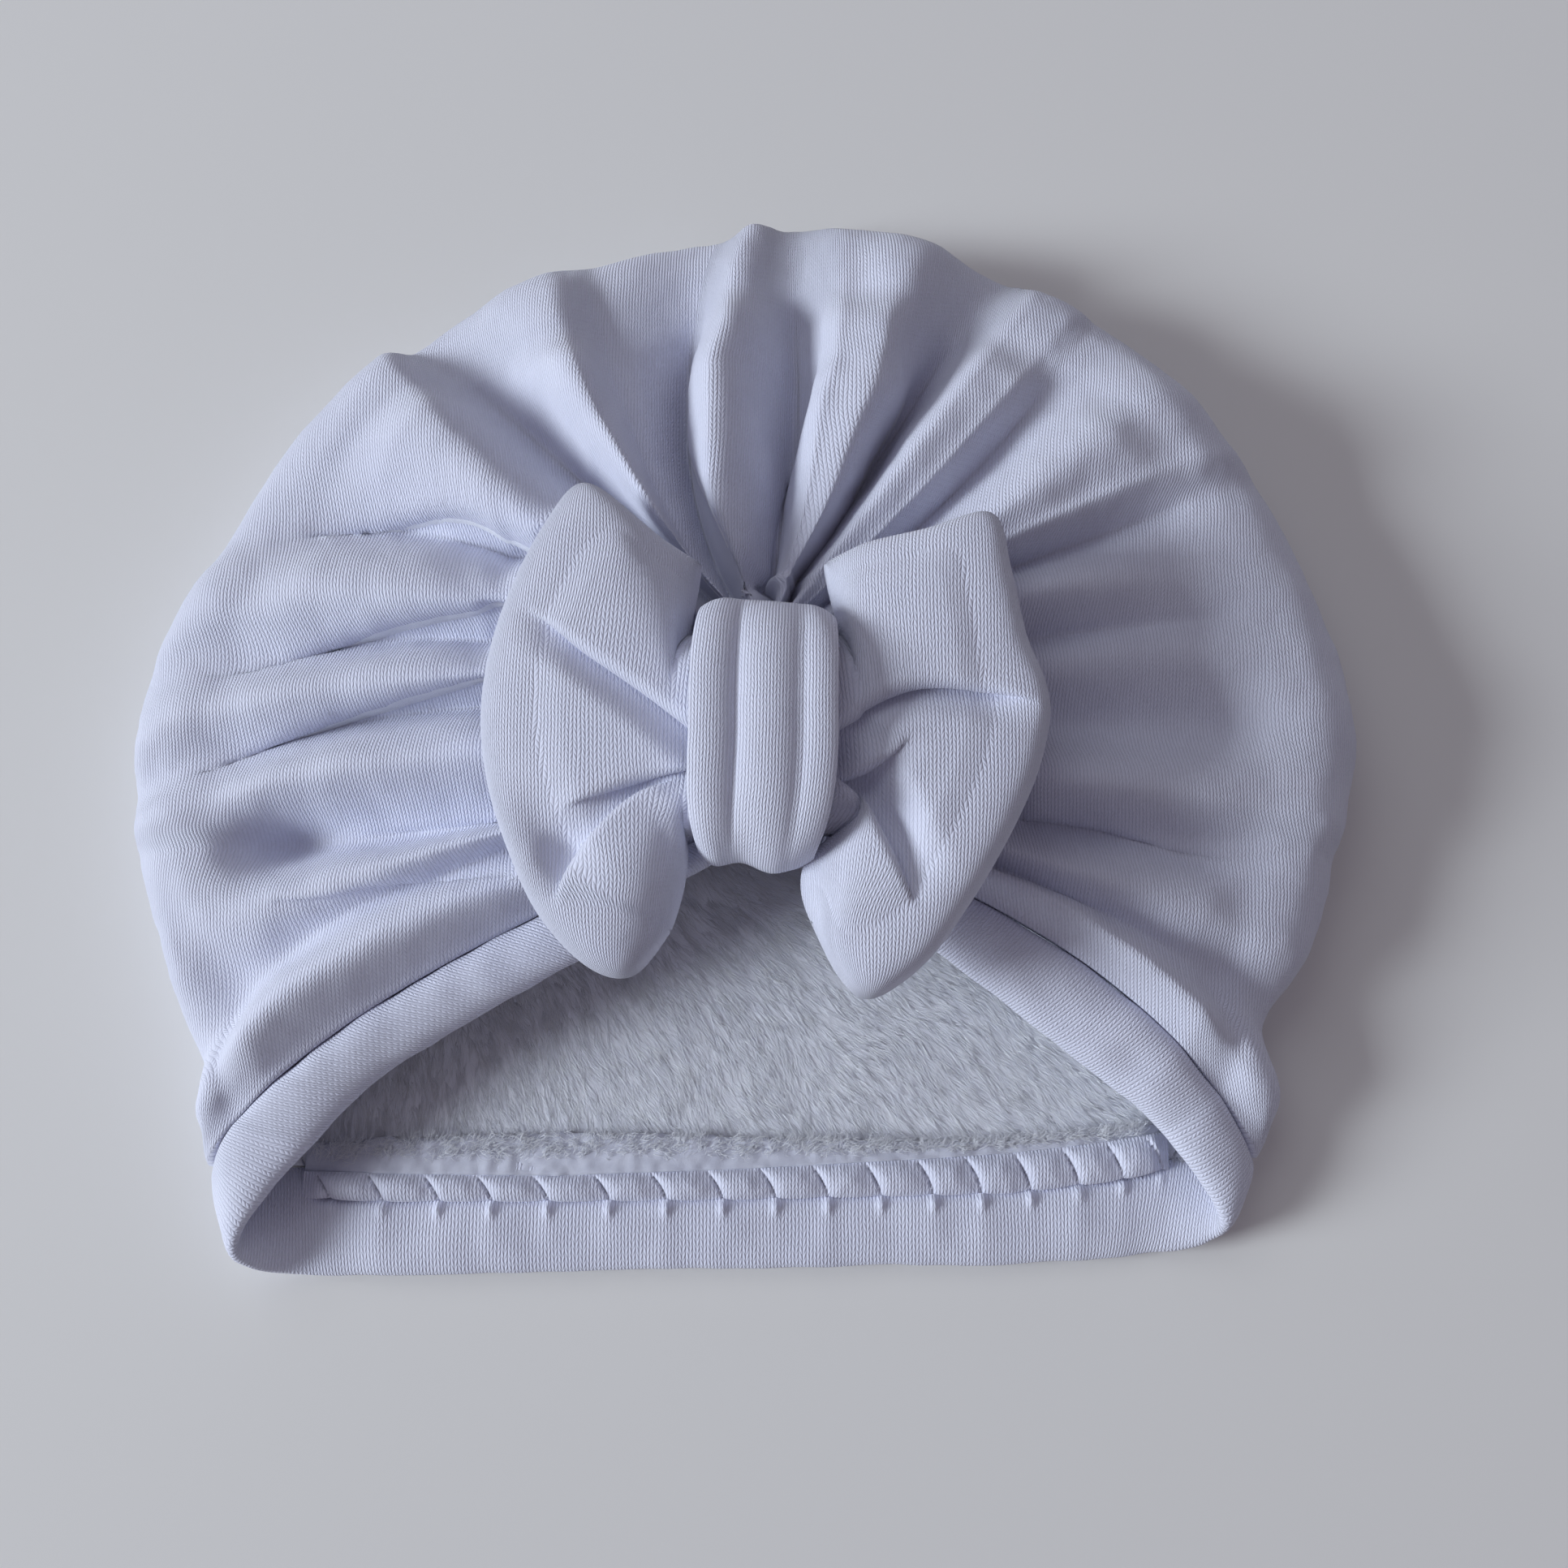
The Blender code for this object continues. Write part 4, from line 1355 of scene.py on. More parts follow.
@dataclass
class CrownFront:
    """Gathered front panel, one wall whose folds fan out from under the bow."""

    columns_per_fold: int = 11
    rows: int = 116
    reference_row: int = 50
    wrinkles: tuple = (Wave(11.0, 3.1, 0.45), Wave(3.4, 7.7, 0.16))
    slit_depth: float = 1.0
    slit_share: float = 0.16
    slit_crease: float = 0.3
    slit_end: float = 0.60
    top_fade: float = 0.12
    seam_fade: float = 0.1
    edge_cells: float = 6.0

    def slits(self) -> np.ndarray:
        """Deepen the bottom of each sharp valley.

        Returns:
            Extra depth on the (u, w) grid, in millimetres.
        """
        columns = self.columns_per_fold * (len(FRONT_FOLDS) - 1)
        depth = np.zeros(columns + 1)
        for k, fold in enumerate(FRONT_FOLDS):
            if 0 < k < len(FRONT_FOLDS) - 1 and fold.crease > self.slit_crease:
                away = (np.arange(columns + 1) / self.columns_per_fold - k) / self.slit_share
                depth += fold.crease * np.exp(-away ** 2)
        run = np.linspace(0.0, 1.0, self.rows + 1)
        fade = clamp(np.sin(np.pi * clamp(run / self.slit_end))) ** 0.5
        return self.slit_depth * depth[:, None] * fade[None, :]

    def build(self, kit: Dresser) -> bpy.types.Object:
        """Build the panel.

        Args:
            kit: shape, shift and finishes.

        Returns:
            The finished piece.
        """
        shape = kit.shape
        columns = self.columns_per_fold * (len(FRONT_FOLDS) - 1)
        outer, inner = faces(shape.front_point, (0.0, shape.wall), columns, self.rows)
        cloth = cloth_lengths(outer, self.reference_row)
        run = np.linspace(0.0, 1.0, self.rows + 1)[None, :]
        top = clamp((shape.shoulder_share - run) / self.top_fade)
        edge = from_ends(columns, self.edge_cells)[:, None]
        push = ripple(cloth, *self.wrinkles) * edge * clamp((1.0 - run) / self.seam_fade)
        drop = (dented(outer, FRONT_DENTS) + self.slits()) * top * edge
        move = tucked(outer, FRONT_TUCKS) * (top * edge)[..., None]
        normal = surface_normals(outer)
        for layer in (outer, inner):
            layer += normal * push[..., None] + move
            layer[..., 2] -= drop
        bm = bend_slab(outer + kit.shift, inner + kit.shift, cloth, inner_material=1)
        piece = add_piece("front_panel", bm, (kit.knit, kit.fleece))
        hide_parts("crown_front")
        return piece


@dataclass
class CrownBack:
    """Plain back panel, flat on the floor, fleece side up inside the cap."""

    columns: int = 120
    rows: int = 60

    def build(self, kit: Dresser) -> bpy.types.Object:
        """Build the panel.

        Args:
            kit: shape, shift and finishes.

        Returns:
            The finished piece.
        """
        shape = kit.shape
        layers = (0.0, shape.wall)
        inside, outside = faces(shape.back_point, layers, self.columns, self.rows)
        cloth = inside[..., :2].copy()
        bm = bend_slab(inside + kit.shift, outside + kit.shift, cloth, inner_material=1)
        piece = add_piece("back_panel", bm, (kit.fleece, kit.knit))
        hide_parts("crown_back")
        return piece


@dataclass
class HemBand:
    """Turned-in double hem with the puckers of its stitching along the back."""

    side_columns: int = 36
    back_columns: int = 120
    sides: int = 60
    pinch: float = 1.2
    pinch_width: float = 0.8
    knob: Spot = Spot(0.7, -1.4, 0.6, 1.2, 0.75)
    drawn: Spot = Spot(0.6, -5.0, 1.6, 4.0, 0.12)
    drawn_varies: float = 0.6
    drawn_turn: float = 2.3
    past_left: float = 3.0
    past_right: float = 2.0
    fade_run: float = 3.0
    up_gain: float = 2.0
    up_from: float = 0.4
    back_y: float = -60.0
    back_run: float = 2.0
    back_height: float = 6.0
    wrinkle: Wave = Wave(6.0, 5.5, 0.35)
    floor_share: float = 0.3
    floor_height: float = 1.0

    def puckers(self, points: np.ndarray) -> np.ndarray:
        """Height that the stitching gives the hem's upper face along the back.

        Args:
            points: grid of the hem's points.

        Returns:
            Height to add at each point, in millimetres.
        """
        x = points[..., 0]
        off = points[..., 1] - hem_line(x, "stitch_y")
        height = -self.pinch * np.exp(-(off / self.pinch_width) ** 2)
        for k, joint in enumerate(HEM_JOINTS):
            height += self.knob.height * self.knob.share(x - joint, off)
            size = 1.0 + self.drawn_varies * math.sin(self.drawn_turn * k)
            height += self.drawn.height * size * self.drawn.share(x - joint, off)
        from_left = clamp((x - HEM_JOINTS[0] + self.past_left) / self.fade_run)
        return height * from_left * clamp((HEM_JOINTS[-1] + self.past_right - x) / self.fade_run)

    def build(self, kit: Dresser) -> bpy.types.Object:
        """Build the band.

        Args:
            kit: shape, shift and finishes.

        Returns:
            The finished piece.
        """
        places = []
        for k, station in enumerate(HEM_STATIONS):
            after = HEM_STATIONS[(k + 1) % len(HEM_STATIONS)]
            on_back = station.side is Side.BACK and after.side is Side.BACK
            cells = self.back_columns if on_back else self.side_columns
            places += [k + cell / cells for cell in range(cells)]
        points = np.array([kit.shape.hem_ring(p, self.sides) for p in places + [0.0]])
        points[-1] = points[0]
        points[:, -1] = points[:, 0]
        cloth = np.zeros(points.shape[:2] + (2,))
        cloth[1:, :, 0] = mean_run(points, 0)[:, None]
        cloth[:, 1:, 1] = mean_run(points, 1)[None, :]
        normal = -surface_normals(points)
        z = points[..., 2]
        up = clamp(normal[..., 2] * self.up_gain - self.up_from)
        back = clamp((self.back_y - points[..., 1]) / self.back_run) * (z < self.back_height)
        wave = ripple(points[..., :2] + z[..., None], self.wrinkle)
        wave *= np.where(z > self.floor_height, 1.0, self.floor_share)
        points = points + normal * wave[..., None]
        points[..., 2] += self.puckers(points) * up * back
        points[..., 2] = np.maximum(points[..., 2], 0.0)
        points[-1] = points[0]
        points[:, -1] = points[:, 0]
        bm = bend_tube(points + kit.shift, cloth)
        piece = add_piece("hem", bm, (kit.knit,))
        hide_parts("hem_band")
        return piece


@dataclass
class HemPuffs:
    """Turned-in fold above the hem's stitching, drawn into a row of puffs by the thread."""

    columns: int = 560
    rows: int = 22
    left: float = -66.0
    right: float = 64.0
    bottom_z: float = 2.4
    base_z: float = 4.0
    height: float = 2.0
    skew: float = 1.2
    curve: float = 1.5
    edge_from: float = 0.86
    edge_fullness: float = 0.62
    bulge: float = 0.5
    head_share: float = 0.3
    tail_from: float = 0.5
    tail_run: float = 0.6
    tail_fall: float = 0.5
    arch_from: float = 0.02
    arch_run: float = 0.94
    arch_power: float = 0.65
    wrinkle: Wave = Wave(1.6, 6.1, 0.12)
    end_puff: float = 1.0
    left_fade: float = 4.0
    right_fade: float = 3.0
    end_thick: float = 0.8

    def along(self, place: np.ndarray) -> np.ndarray:
        """Height of a puff along itself: a round head, falling away to its tucked tail.

        Args:
            place: places along it, 0 to 1.

        Returns:
            Shares of its full height.
        """
        head = 1.0 - (1.0 - clamp(place / self.head_share)) ** 2
        tail = 1.0 - self.tail_fall * smooth_step((place - self.tail_from) / self.tail_run)
        return np.sqrt(head) * tail

    def build(self, kit: Dresser) -> bpy.types.Object:
        """Build the row of puffs.

        Args:
            kit: shape, shift and finishes.

        Returns:
            The finished piece.
        """
        x, v = np.meshgrid(
            np.linspace(self.left, self.right, self.columns + 1),
            np.linspace(0.0, 1.0, self.rows + 1), indexing="ij",
        )
        stitch = hem_line(x, "stitch_y")
        edge = hem_line(x, "edge_y")
        past = self.end_puff
        joints = np.array((self.left - past,) + HEM_JOINTS + (self.right + past,))
        leaning = x + self.skew * (v - 0.5) + self.curve * v * v
        k = np.clip(np.searchsorted(joints, leaning) - 1, 0, len(joints) - 2)
        puff = self.along(clamp((leaning - joints[k]) / (joints[k + 1] - joints[k])))
        near_edge = smooth_step((v - self.edge_from) / (1.0 - self.edge_from))
        puff = mix(puff, self.edge_fullness, near_edge)
        across = np.sin(np.pi * (self.arch_from + self.arch_run * v)) ** self.arch_power
        points = np.empty(x.shape + (3,))
        points[..., 0] = x
        points[..., 1] = mix(stitch, edge, v) - self.bulge * puff * (1.0 - v)
        points[..., 2] = self.base_z + self.height * puff * across
        points[..., 2] += ripple(points[..., :2], self.wrinkle)
        ends = smooth_step((x - self.left) / self.left_fade)
        ends = ends * smooth_step((self.right - x) / self.right_fade)
        points[..., 2] = mix(self.bottom_z + self.end_thick, points[..., 2], ends)
        under = points.copy()
        under[..., 2] = self.bottom_z
        cloth = points[..., :2].copy()
        bm = bend_slab(points + kit.shift, under + kit.shift, cloth)
        return add_piece("hem_puffs", bm, (kit.knit,))


@dataclass
class Bow:
    """Padded bow, one pouch pinched at its waist, with three lobes on each side."""

    columns: int = 150
    rows: int = 150
    knot_x: float = 3.4
    knot_y: float = -8.2
    waist_half_run: float = 10.9
    waist_half_length: float = 14.2
    waist_share: float = 0.2
    waist_roundness: float = 2.6
    edge_z: float = 29.2
    waist_z: float = 32.6
    waist_rise: float = 7.9
    rise: float = 9.8
    under: float = 4.6
    edge_roundness: float = 4.5
    tip_roundness: float = 3.6
    least_plump: float = 0.1
    rise_gain: float = 2.5
    edge_gain: float = 3.0
    level_gain: float = 2.0
    wrinkle: Wave = Wave(6.5, 12.3, 0.16)
    right_tip_lift: float = 3.2
    right_lift_from: float = 0.3
    thin: float = 1.5
    thick_run: float = 6.0

    def row_at(self, table: Sequence[BowRow], u: float) -> tuple:
        """Read the bow's line between the rows of a table.

        Args:
            table: the rows of one half.
            u: place across its folds, 0 to 1.

        Returns:
            Middle and tip of the line.
        """
        position = u * (len(table) - 1)
        index = min(int(position), len(table) - 2)
        near = [table[min(max(index + k, 0), len(table) - 1)] for k in (-1, 0, 1, 2)]
        middles = [Vector((row.mid_x, row.mid_y, 0.0)) for row in near]
        tips = [Vector((row.tip_x, row.tip_y, 0.0)) for row in near]
        return catmull(middles, 1.0 + position - index), catmull(tips, 1.0 + position - index)

    def side_point(self, side: float, u: float, run: float, upper: bool) -> Vector:
        """Point of one half of the bow.

        Args:
            side: -1 for the left half, 1 for the right half.
            u: place across its folds, 0 to 1.
            run: place from the waist to the tip, 0 to 1.
            upper: whether the point is on the upper face.

        Returns:
            The point in millimetres.
        """
        waist_y = self.knot_y + self.waist_half_length * (1.0 - 2.0 * u)
        root = Vector((self.knot_x + side * self.waist_half_run, waist_y, 0.0))
        off_middle = abs(2.0 * u - 1.0)
        waist_edge = (1.0 - off_middle ** self.waist_roundness) ** (1.0 / self.waist_roundness)
        loop_edge = (1.0 - off_middle ** self.edge_roundness) ** 0.5
        if run <= self.waist_share:
            s = 0.0
            point = Vector((mix(self.knot_x, root.x, run / self.waist_share), root.y, 0.0))
        else:
            s = (run - self.waist_share) / (1.0 - self.waist_share)
            middle, tip = self.row_at(BOW_LEFT if side < 0.0 else BOW_RIGHT, u)
            point = through_three(root, middle, tip, math.sin(0.5 * math.pi * s))
        rise = mix(self.waist_rise, self.rise, min(1.0, self.rise_gain * s))
        if side > 0.0:
            rise += self.right_tip_lift * (s - self.right_lift_from)
        edge = mix(waist_edge, loop_edge, min(1.0, self.edge_gain * s))
        rounded = edge * (1.0 - s ** self.tip_roundness) ** 0.5
        plump = mix(self.least_plump, 1.0, rounded)
        level = mix(self.waist_z, self.edge_z, min(1.0, self.level_gain * s))
        under = mix(self.waist_rise, self.under, min(1.0, self.level_gain * s))
        point.z = level + rise * plump if upper else level - under * plump
        return point

    def point(self, u: float, w: float, upper: bool) -> Vector:
        """Point of the bow.

        Args:
            u: place across its folds, 0 to 1.
            w: place from the left tip through the waist to the right tip, 0 to 1.
            upper: whether the point is on the upper face.

        Returns:
            The point in millimetres.
        """
        if w < 0.5:
            return self.side_point(-1.0, u, 1.0 - 2.0 * w, upper)
        return self.side_point(1.0, u, 2.0 * w - 1.0, upper)

    def build(self, kit: Dresser) -> bpy.types.Object:
        """Build the bow.

        Args:
            kit: shape, shift and finishes.

        Returns:
            The finished piece.
        """
        upper, lower = faces(self.point, (True, False), self.columns, self.rows)
        drop = upper[..., 2].max() - upper[..., 2]
        cloth = upper[..., :2] + surface_normals(upper)[..., :2] * drop[..., None]
        thick = smooth_step((upper[..., 2] - lower[..., 2] - self.thin) / self.thick_run)
        upper[..., 2] += ripple(upper[..., :2], self.wrinkle) * thick
        upper[..., 2] -= dented(upper, BOW_DENTS) * thick
        upper += tucked(upper, BOW_TUCKS) * thick[..., None]
        bm = bend_slab(upper + kit.shift, lower + kit.shift, cloth)
        piece = add_piece("bow_pouch", bm, (kit.knit,))
        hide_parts("bow")
        return piece


@dataclass
class KnotBand:
    """Band once round the waist of the bow, with soft ribs along its length."""

    columns: int = 160
    rows: int = 72
    centre_x: float = 3.4
    centre_y: float = -8.2
    top_x: float = 4.0
    bottom_x: float = 2.2
    half_width: float = 10.0
    top_half_width: float = 9.2
    bottom_half_width: float = 8.0
    half_length: float = 18.7
    half_height: float = 10.6
    middle_z: float = 32.6
    wall: float = 2.2
    corner: float = 1.6
    corner_from: float = 0.6
    roundness: float = 2.6
    rib_fade: float = 0.5
    rib_roundness: float = 0.8
    top_slant: float = 0.8
    bottom_slant: float = 0.9
    bottom_wave: float = 0.5
    bottom_turn: float = 6.0
    cloth_width: float = 24.0

    def point(self, u: float, w: float, depth: float) -> Vector:
        """Point of the band.

        Args:
            u: place once round the waist, 0 to 1.
            w: place across the band, 0 to 1.
            depth: how far inside the outer face.

        Returns:
            The point in millimetres.
        """
        angle = 2.0 * math.pi * u
        across = 2.0 * w - 1.0
        along, up = superellipse(angle, self.roundness)
        on_top = max(0.0, math.sin(angle)) ** self.rib_fade
        raised = 0.0
        if depth == 0.0:
            for rib in KNOT_RIBS:
                away = (across - rib.centre) / rib.half_width
                raised += rib.height * on_top * max(0.0, 1.0 - away * away) ** self.rib_roundness
        end_x = self.top_x if along > 0.0 else self.bottom_x
        end_half_width = self.top_half_width if along > 0.0 else self.bottom_half_width
        centre_x = mix(self.centre_x, end_x, along ** 2)
        half_width = mix(self.half_width, end_half_width, along ** 4)
        cut = max(0.0, (abs(across) - self.corner_from) / (1.0 - self.corner_from))
        half_length = self.half_length - self.corner * cut ** 2
        if along < 0.0:
            half_length += self.bottom_slant * across
            half_length += self.bottom_wave * math.sin(self.bottom_turn * across)
        else:
            half_length -= self.top_slant * across
        return Vector((
            centre_x + half_width * across,
            self.centre_y + (half_length - depth) * along,
            self.middle_z + (self.half_height - depth + raised) * up,
        ))

    def build(self, kit: Dresser) -> bpy.types.Object:
        """Build the band.

        Args:
            kit: shape, shift and finishes.

        Returns:
            The finished piece.
        """
        outer, inner = faces(self.point, (0.0, self.wall), self.columns, self.rows)
        outer[-1] = outer[0]
        inner[-1] = inner[0]
        cloth = np.zeros(outer.shape[:2] + (2,))
        cloth[1:, :, 1] = -mean_run(outer, 0)[:, None]
        cloth[..., 0] = np.linspace(0.0, self.cloth_width, self.rows + 1)[None, :]
        bm = bend_slab(outer + kit.shift, inner + kit.shift, cloth, ring=True)
        piece = add_piece("knot", bm, (kit.knit,))
        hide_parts("knot_band")
        return piece


class Comb(NamedTuple):
    """Way that the pile lies at one place of the back's inside."""

    x: float
    y: float
    way_deg: float


PILE_COMB = tuple(Comb(*row) for row in (
    (-55.0, -45.0, -88.0),
    (-20.0, -35.0, -50.0),
    (15.0, -30.0, -28.0),
    (50.0, -50.0, -30.0),
    (-45.0, -62.0, -80.0),
    (0.0, -58.0, -58.0),
    (45.0, -62.0, -55.0),
))


@dataclass
class Pile:
    """Matted strands of the fleece on the inside of the back, combed one way.

    The arch is the front hem, whose stations are counted on past the apex.
    """

    name: str
    seed: int
    clumps: int = 4600
    per_clump: int = 3
    clump_radius: float = 0.8
    length: tuple = (2.6, 5.0)
    lift: tuple = (0.03, 0.16)
    thickness: float = 0.062
    base_z: float = 2.15
    low: tuple = (-72.0, -66.5)
    high: tuple = (70.0, -14.0)
    behind_arch: float = 14.0
    unruly: float = 0.14
    sway: Wave = Wave(9.0, 1.7, 0.45)
    comb_softness: float = 30.0
    spare: int = 3
    arch_stations: tuple = (13, 29)
    arch_cells: int = 8
    reach_varies: tuple = (0.7, 1.2)
    lift_varies: tuple = (0.5, 1.3)
    width_varies: tuple = (0.7, 1.3)
    bend: float = 0.2
    clump_spread: float = 0.5
    gather: float = 0.7
    middle_gather: float = 0.4
    tip_lift: float = 0.55
    taper: float = 0.9
    section: tuple = ((-1.0, -0.2), (1.0, -0.2), (0.0, 0.5))

    def comb(self, places: np.ndarray) -> np.ndarray:
        """Blend the way of the pile between the named places.

        Args:
            places: places, shape (n, 2), in millimetres.

        Returns:
            The way at each place, in radians.
        """
        total = np.zeros(len(places))
        weights = np.zeros(len(places))
        for named in PILE_COMB:
            away = (places[:, 0] - named.x) ** 2 + (places[:, 1] - named.y) ** 2
            weight = 1.0 / (self.comb_softness + away)
            total += weight * named.way_deg
            weights += weight
        return np.radians(total / weights) + ripple(places, self.sway)

    def arch(self, shape: CapShape, x: np.ndarray) -> np.ndarray:
        """Read how far back the folded edge of the front hem reaches.

        Args:
            shape: shape of the cap.
            x: places from left to right, in millimetres.

        Returns:
            The y of the edge over each of them.
        """
        first, last = (station * self.arch_cells for station in self.arch_stations)
        edge = [shape.hem_fold(k / self.arch_cells) for k in range(first, last)]
        edge.sort(key=lambda p: p.x)
        return np.interp(x, [p.x for p in edge], [p.y for p in edge])

    def scatter(self, kit: Dresser, rng: np.random.Generator) -> np.ndarray:
        """Strew the clumps from the hem to a little behind the arch.

        Args:
            kit: shape, shift and finishes.
            rng: source of the random draws.

        Returns:
            Their places, shape (n, 2), in millimetres.
        """
        x = rng.uniform(self.low[0], self.high[0], self.clumps * self.spare)
        y = rng.uniform(self.low[1], self.high[1], self.clumps * self.spare)
        inside = y < self.arch(kit.shape, x) + self.behind_arch
        return np.stack([x, y], axis=1)[inside][: self.clumps]

    def build(self, kit: Dresser) -> bpy.types.Object:
        """Build the strands as one joined mesh.

        Args:
            kit: shape, shift and finishes.

        Returns:
            The finished piece.
        """
        rng = np.random.default_rng(self.seed)
        places = self.scatter(kit, rng)
        n = len(places)
        way = self.comb(places) + rng.normal(0.0, self.unruly, n)
        reach = rng.uniform(*self.length, n)
        lift = rng.uniform(*self.lift, n)

        m = n * self.per_clump
        owner = np.repeat(np.arange(n), self.per_clump)
        away = rng.normal(0.0, self.clump_radius * self.clump_spread, (m, 2))
        base = np.column_stack([places[owner] + away, np.full(m, self.base_z)])
        way = way[owner] + rng.normal(0.0, self.unruly, m)
        reach = reach[owner] * rng.uniform(*self.reach_varies, m)
        lift = lift[owner] * rng.uniform(*self.lift_varies, m)
        forwards = np.column_stack([np.cos(way), np.sin(way), np.zeros(m)])
        sideways = np.column_stack([-np.sin(way), np.cos(way), np.zeros(m)])
        bend = rng.normal(0.0, self.bend, m)[:, None] * sideways
        tip_in = -self.gather * np.column_stack([away, np.zeros(m)])
        middle = base + forwards * (0.5 * reach)[:, None] + bend + tip_in * self.middle_gather
        middle[:, 2] += lift
        tip = base + forwards * reach[:, None] + tip_in
        tip[:, 2] += self.tip_lift * lift

        half = 0.5 * self.thickness * rng.uniform(*self.width_varies, m)[:, None]
        up = np.array([0.0, 0.0, 1.0])
        points = np.empty((m, 7, 3))
        for k, (side, rise) in enumerate(self.section):
            corner = sideways * side * half + up * rise * half
            points[:, k] = base + corner
            points[:, 3 + k] = middle + corner * self.taper
        points[:, 6] = tip
        sides = []
        for k in range(3):
            after = (k + 1) % 3
            sides += [(k, after, 3 + after), (k, 3 + after, 3 + k), (3 + k, 3 + after, 6)]
        sides.append((2, 1, 0))
        return add_joined(self.name, points + kit.shift, np.array(sides), kit.strands)


@dataclass
class RawFuzz(Pile):
    """Short curly fibres along the raw edge of the hem's turned-in allowance."""

    clumps: int = 900
    per_clump: int = 5
    clump_radius: float = 0.9
    length: tuple = (1.0, 2.4)
    lift: tuple = (0.2, 0.9)
    base_z: float = 3.9
    unruly: float = 0.45
    sway: Wave = Wave(5.0, 4.1, 1.2)
    left: float = -65.0
    right: float = 60.0
    out_deg: float = 35.0
    share_from: float = 0.2
    share_power: float = 0.6

    def comb(self, places: np.ndarray) -> np.ndarray:
        """Way of the fibres, mostly along the edge and out of it."""
        return np.full(len(places), math.radians(self.out_deg)) + ripple(places, self.sway)

    def scatter(self, kit: Dresser, rng: np.random.Generator) -> np.ndarray:
        """Strew the clumps between the folded edge and the raw edge.

        Args:
            kit: not used.
            rng: source of the random draws.

        Returns:
            Their places, shape (n, 2), in millimetres.
        """
        x = rng.uniform(self.left, self.right, self.clumps)
        share = rng.uniform(self.share_from, 1.0, self.clumps) ** self.share_power
        return np.stack([x, mix(hem_line(x, "edge_y"), hem_line(x, "raw_y"), share)], axis=1)


@dataclass
class RawStrip:
    """Turned-in allowance above the hem's stitching, ending in a curly raw edge."""

    left: float = -66.0
    right: float = 63.0
    tuck_in: float = 0.1
    wall: float = 1.1
    height: float = 4.7
    columns: int = 320
    rows: int = 12
    wander: tuple = (Wave(9.0, 2.2, 0.5), Wave(2.2, 4.4, 0.4))
    crumple: tuple = (Wave(1.7, 8.8, 0.35), Wave(5.0, 9.9, 0.3))
    slope: float = 1.3
    curl: float = 0.5
    curl_from: float = 0.7
    end_z: float = 2.6
    end_cells: float = 30.0

    def build(self, kit: Dresser) -> bpy.types.Object:
        """Build the strip.

        Args:
            kit: shape, shift and finishes.

        Returns:
            The finished piece.
        """
        run = np.linspace(self.left, self.right, self.columns + 1)
        share = np.linspace(0.0, 1.0, self.rows + 1)
        line = np.column_stack([run, np.zeros_like(run)])
        raw = hem_line(run, "raw_y") + ripple(line, *self.wander)
        start = hem_line(run, "edge_y") - self.tuck_in
        top = np.zeros((self.columns + 1, self.rows + 1, 3))
        top[..., 0] = run[:, None]
        top[..., 1] = mix(start[:, None], raw[:, None], share[None, :])
        curl = self.curl * np.sin(np.pi * clamp((share - self.curl_from) / (1.0 - self.curl_from)))
        top[..., 2] = (self.height - self.slope * share + curl)[None, :]
        top[..., 2] += ripple(top[..., :2], *self.crumple)
        ends = from_ends(self.columns, self.end_cells)[:, None]
        top[..., 2] = mix(self.end_z, top[..., 2], ends)
        under = top.copy()
        under[..., 2] -= self.wall
        cloth = top[..., :2].copy()
        bm = bend_slab(top + kit.shift, under + kit.shift, cloth)
        # The raw strip's finish is a darker copy of the fleece: painted shade.
        return add_piece("raw_strip", bm, (kit.raw_edge_painted_shade,))


@dataclass
class HemThread:
    """Short stitches of sewing thread along the hem's stitch line."""

    pitch: float = 1.05
    stitch: float = 0.75
    radius: float = 0.13
    height: float = 3.95
    end_gap: float = 2.0
    waver: float = 0.06
    seed: int = 17

    def build(self, kit: Dresser) -> bpy.types.Object:
        """Build the stitches as one joined mesh.

        Args:
            kit: shape, shift and finishes.

        Returns:
            The finished piece.
        """
        template = bmesh.new()
        bmesh.ops.create_icosphere(template, subdivisions=1, radius=1.0)
        verts = np.array([tuple(v.co) for v in template.verts])
        triangles = np.array([[v.index for v in f.verts] for f in template.faces])
        template.free()
        start, end = HEM_JOINTS[0] + self.end_gap, HEM_JOINTS[-1] - self.end_gap
        places = np.arange(start, end, self.pitch)
        rng = np.random.default_rng(self.seed)
        sizes = np.array([0.5 * self.stitch, self.radius, self.radius])
        points = np.empty((len(places), len(verts), 3))
        lines = hem_line(places, "stitch_y") + rng.normal(0.0, self.waver, len(places))
        for k, x in enumerate(places):
            points[k] = verts * sizes + np.array([x, lines[k], self.height])
        return add_joined("hem_thread", points + kit.shift, triangles, kit.thread)


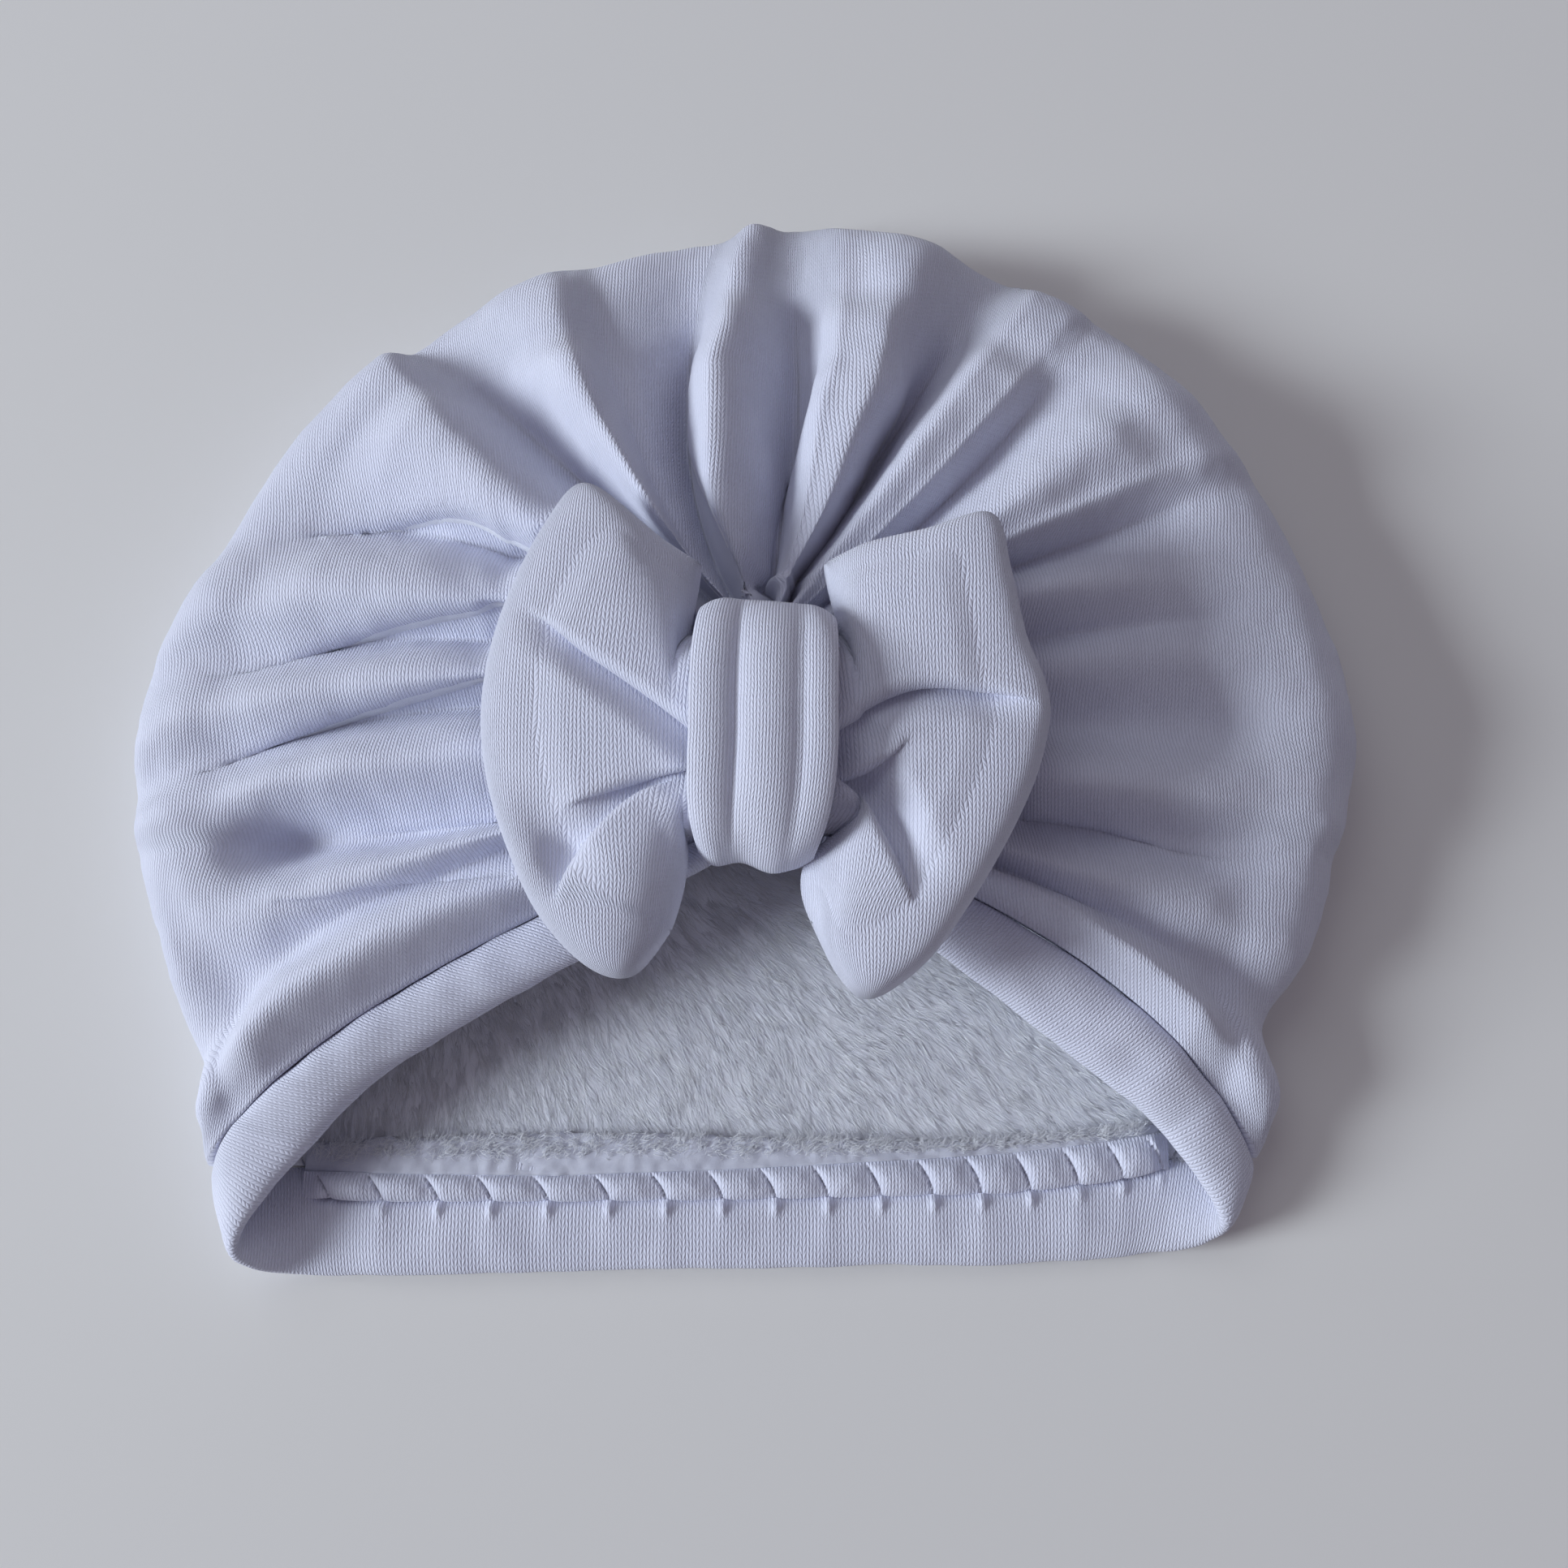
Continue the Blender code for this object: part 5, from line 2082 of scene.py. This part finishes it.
@dataclass
class Studio:
    """Pale floor, soft light from the upper left and a camera straight above."""

    camera_place: tuple = (0.006087, -0.060698, 0.245515)
    camera_tilt_deg: float = 12.0
    lens: float = 36.0
    clip_start: float = 0.01
    floor_size: float = 12.0
    floor_colour: tuple = (0.80, 0.79, 0.78, 1.0)
    floor_roughness: float = 0.8
    key_turn_deg: float = 188.0
    key_height_deg: float = 25.0
    key_size: float = 0.85
    key_power: float = 6.85
    key_spread_deg: float = 60.0
    side_turn_deg: float = 125.0
    side_height_deg: float = 48.0
    side_size: float = 1.6
    side_power: float = 8.0
    lamp_distance: float = 2.5
    lamp_colour: tuple = (0.87, 0.945, 1.0)
    fill: float = 0.2
    fill_colour: tuple = (0.95, 0.87, 1.0, 1.0)

    def lamp(self, name: str, turn_deg: float, height_deg: float, size: float, power: float,
             spread_deg: float = 180.0) -> None:
        """Place one square lamp that looks at the cap.

        Args:
            name: name of the lamp.
            turn_deg: way from the cap to the lamp, anticlockwise from +X.
            height_deg: height over the floor.
            size: side of the lamp in metres.
            power: power in watts.
            spread_deg: how far its light fans out.
        """
        data = bpy.data.lights.new(name, "AREA")
        data.size = size
        data.energy = power
        data.spread = math.radians(spread_deg)
        data.color = self.lamp_colour
        turn = math.radians(turn_deg)
        height = math.radians(height_deg)
        towards = Vector((
            math.cos(turn) * math.cos(height), math.sin(turn) * math.cos(height), math.sin(height)
        ))
        lamp = bpy.data.objects.new(name, data)
        lamp.location = towards * self.lamp_distance
        lamp.rotation_euler = (-towards).to_track_quat("-Z", "Y").to_euler()
        bpy.context.collection.objects.link(lamp)

    def build(self) -> None:
        """Place the floor, the lights, the world and the camera."""
        bm = bmesh.new()
        bmesh.ops.create_grid(bm, x_segments=1, y_segments=1, size=0.5 * self.floor_size)
        mesh = bpy.data.meshes.new("floor")
        bm.to_mesh(mesh)
        bm.free()
        floor = bpy.data.objects.new("floor", mesh)
        material = bpy.data.materials.new("plain_floor")
        material.use_nodes = True
        shader = material.node_tree.nodes["Principled BSDF"]
        shader.inputs["Base Color"].default_value = self.floor_colour
        shader.inputs["Roughness"].default_value = self.floor_roughness
        mesh.materials.append(material)
        bpy.context.collection.objects.link(floor)

        self.lamp("key", self.key_turn_deg, self.key_height_deg, self.key_size, self.key_power,
                  self.key_spread_deg)
        self.lamp("side", self.side_turn_deg, self.side_height_deg, self.side_size, self.side_power)

        world = bpy.data.worlds.new("studio")
        world.use_nodes = True
        background = world.node_tree.nodes["Background"]
        background.inputs["Color"].default_value = self.fill_colour
        background.inputs["Strength"].default_value = self.fill
        bpy.context.scene.world = world

        data = bpy.data.cameras.new("camera")
        data.lens = self.lens
        data.sensor_width = self.lens
        data.clip_start = self.clip_start
        camera = bpy.data.objects.new("camera", data)
        camera.location = self.camera_place
        camera.rotation_euler = (math.radians(self.camera_tilt_deg), 0.0, 0.0)
        bpy.context.collection.objects.link(camera)
        bpy.context.scene.camera = camera
        bpy.context.scene.view_settings.view_transform = "Standard"


def main() -> None:
    """Build every piece in order."""
    logging.basicConfig(level=logging.INFO, format="%(name)s %(message)s")
    Studio().build()
    groups = NodeGroups()
    shape = CapShape()
    kit = Dresser(
        shape=shape,
        shift=shape.shift_to_frame(),
        knit=KnitFinish().material(groups),
        fleece=FleeceFinish(comb_deg=-42.0, stretch=4.0).material(groups),
        # Darker copy of the fleece finish for the raw strip: painted shade.
        raw_edge_painted_shade=FleeceFinish(name="raw_edge_painted_shade", light=(0.76, 0.78, 0.90, 1.0),
                              dark=(0.60, 0.62, 0.75, 1.0)).material(groups),
        strands=FleeceFinish(name="fleece_strands", light=(0.94, 0.955, 1.0, 1.0),
                             dark=(0.85, 0.865, 0.96, 1.0), size=420.0,
                             depth=0.00001).material(groups),
        thread=FleeceFinish(name="thread", light=(0.8, 0.8, 0.86, 1.0), size=900.0,
                            depth=0.00001).material(groups),
    )
    LOG.info("shift to frame: %s", kit.shift)
    CrownFront().build(kit)
    CrownBack().build(kit)
    HemBand().build(kit)
    Bow().build(kit)
    KnotBand().build(kit)
    Pile(name="pile_lower", seed=11).build(kit)
    Pile(name="pile_upper", seed=29, base_z=2.25).build(kit)
    HemPuffs().build(kit)
    RawStrip().build(kit)
    RawFuzz(name="raw_fuzz", seed=41).build(kit)
    HemThread().build(kit)


if __name__ == "__main__":
    main()
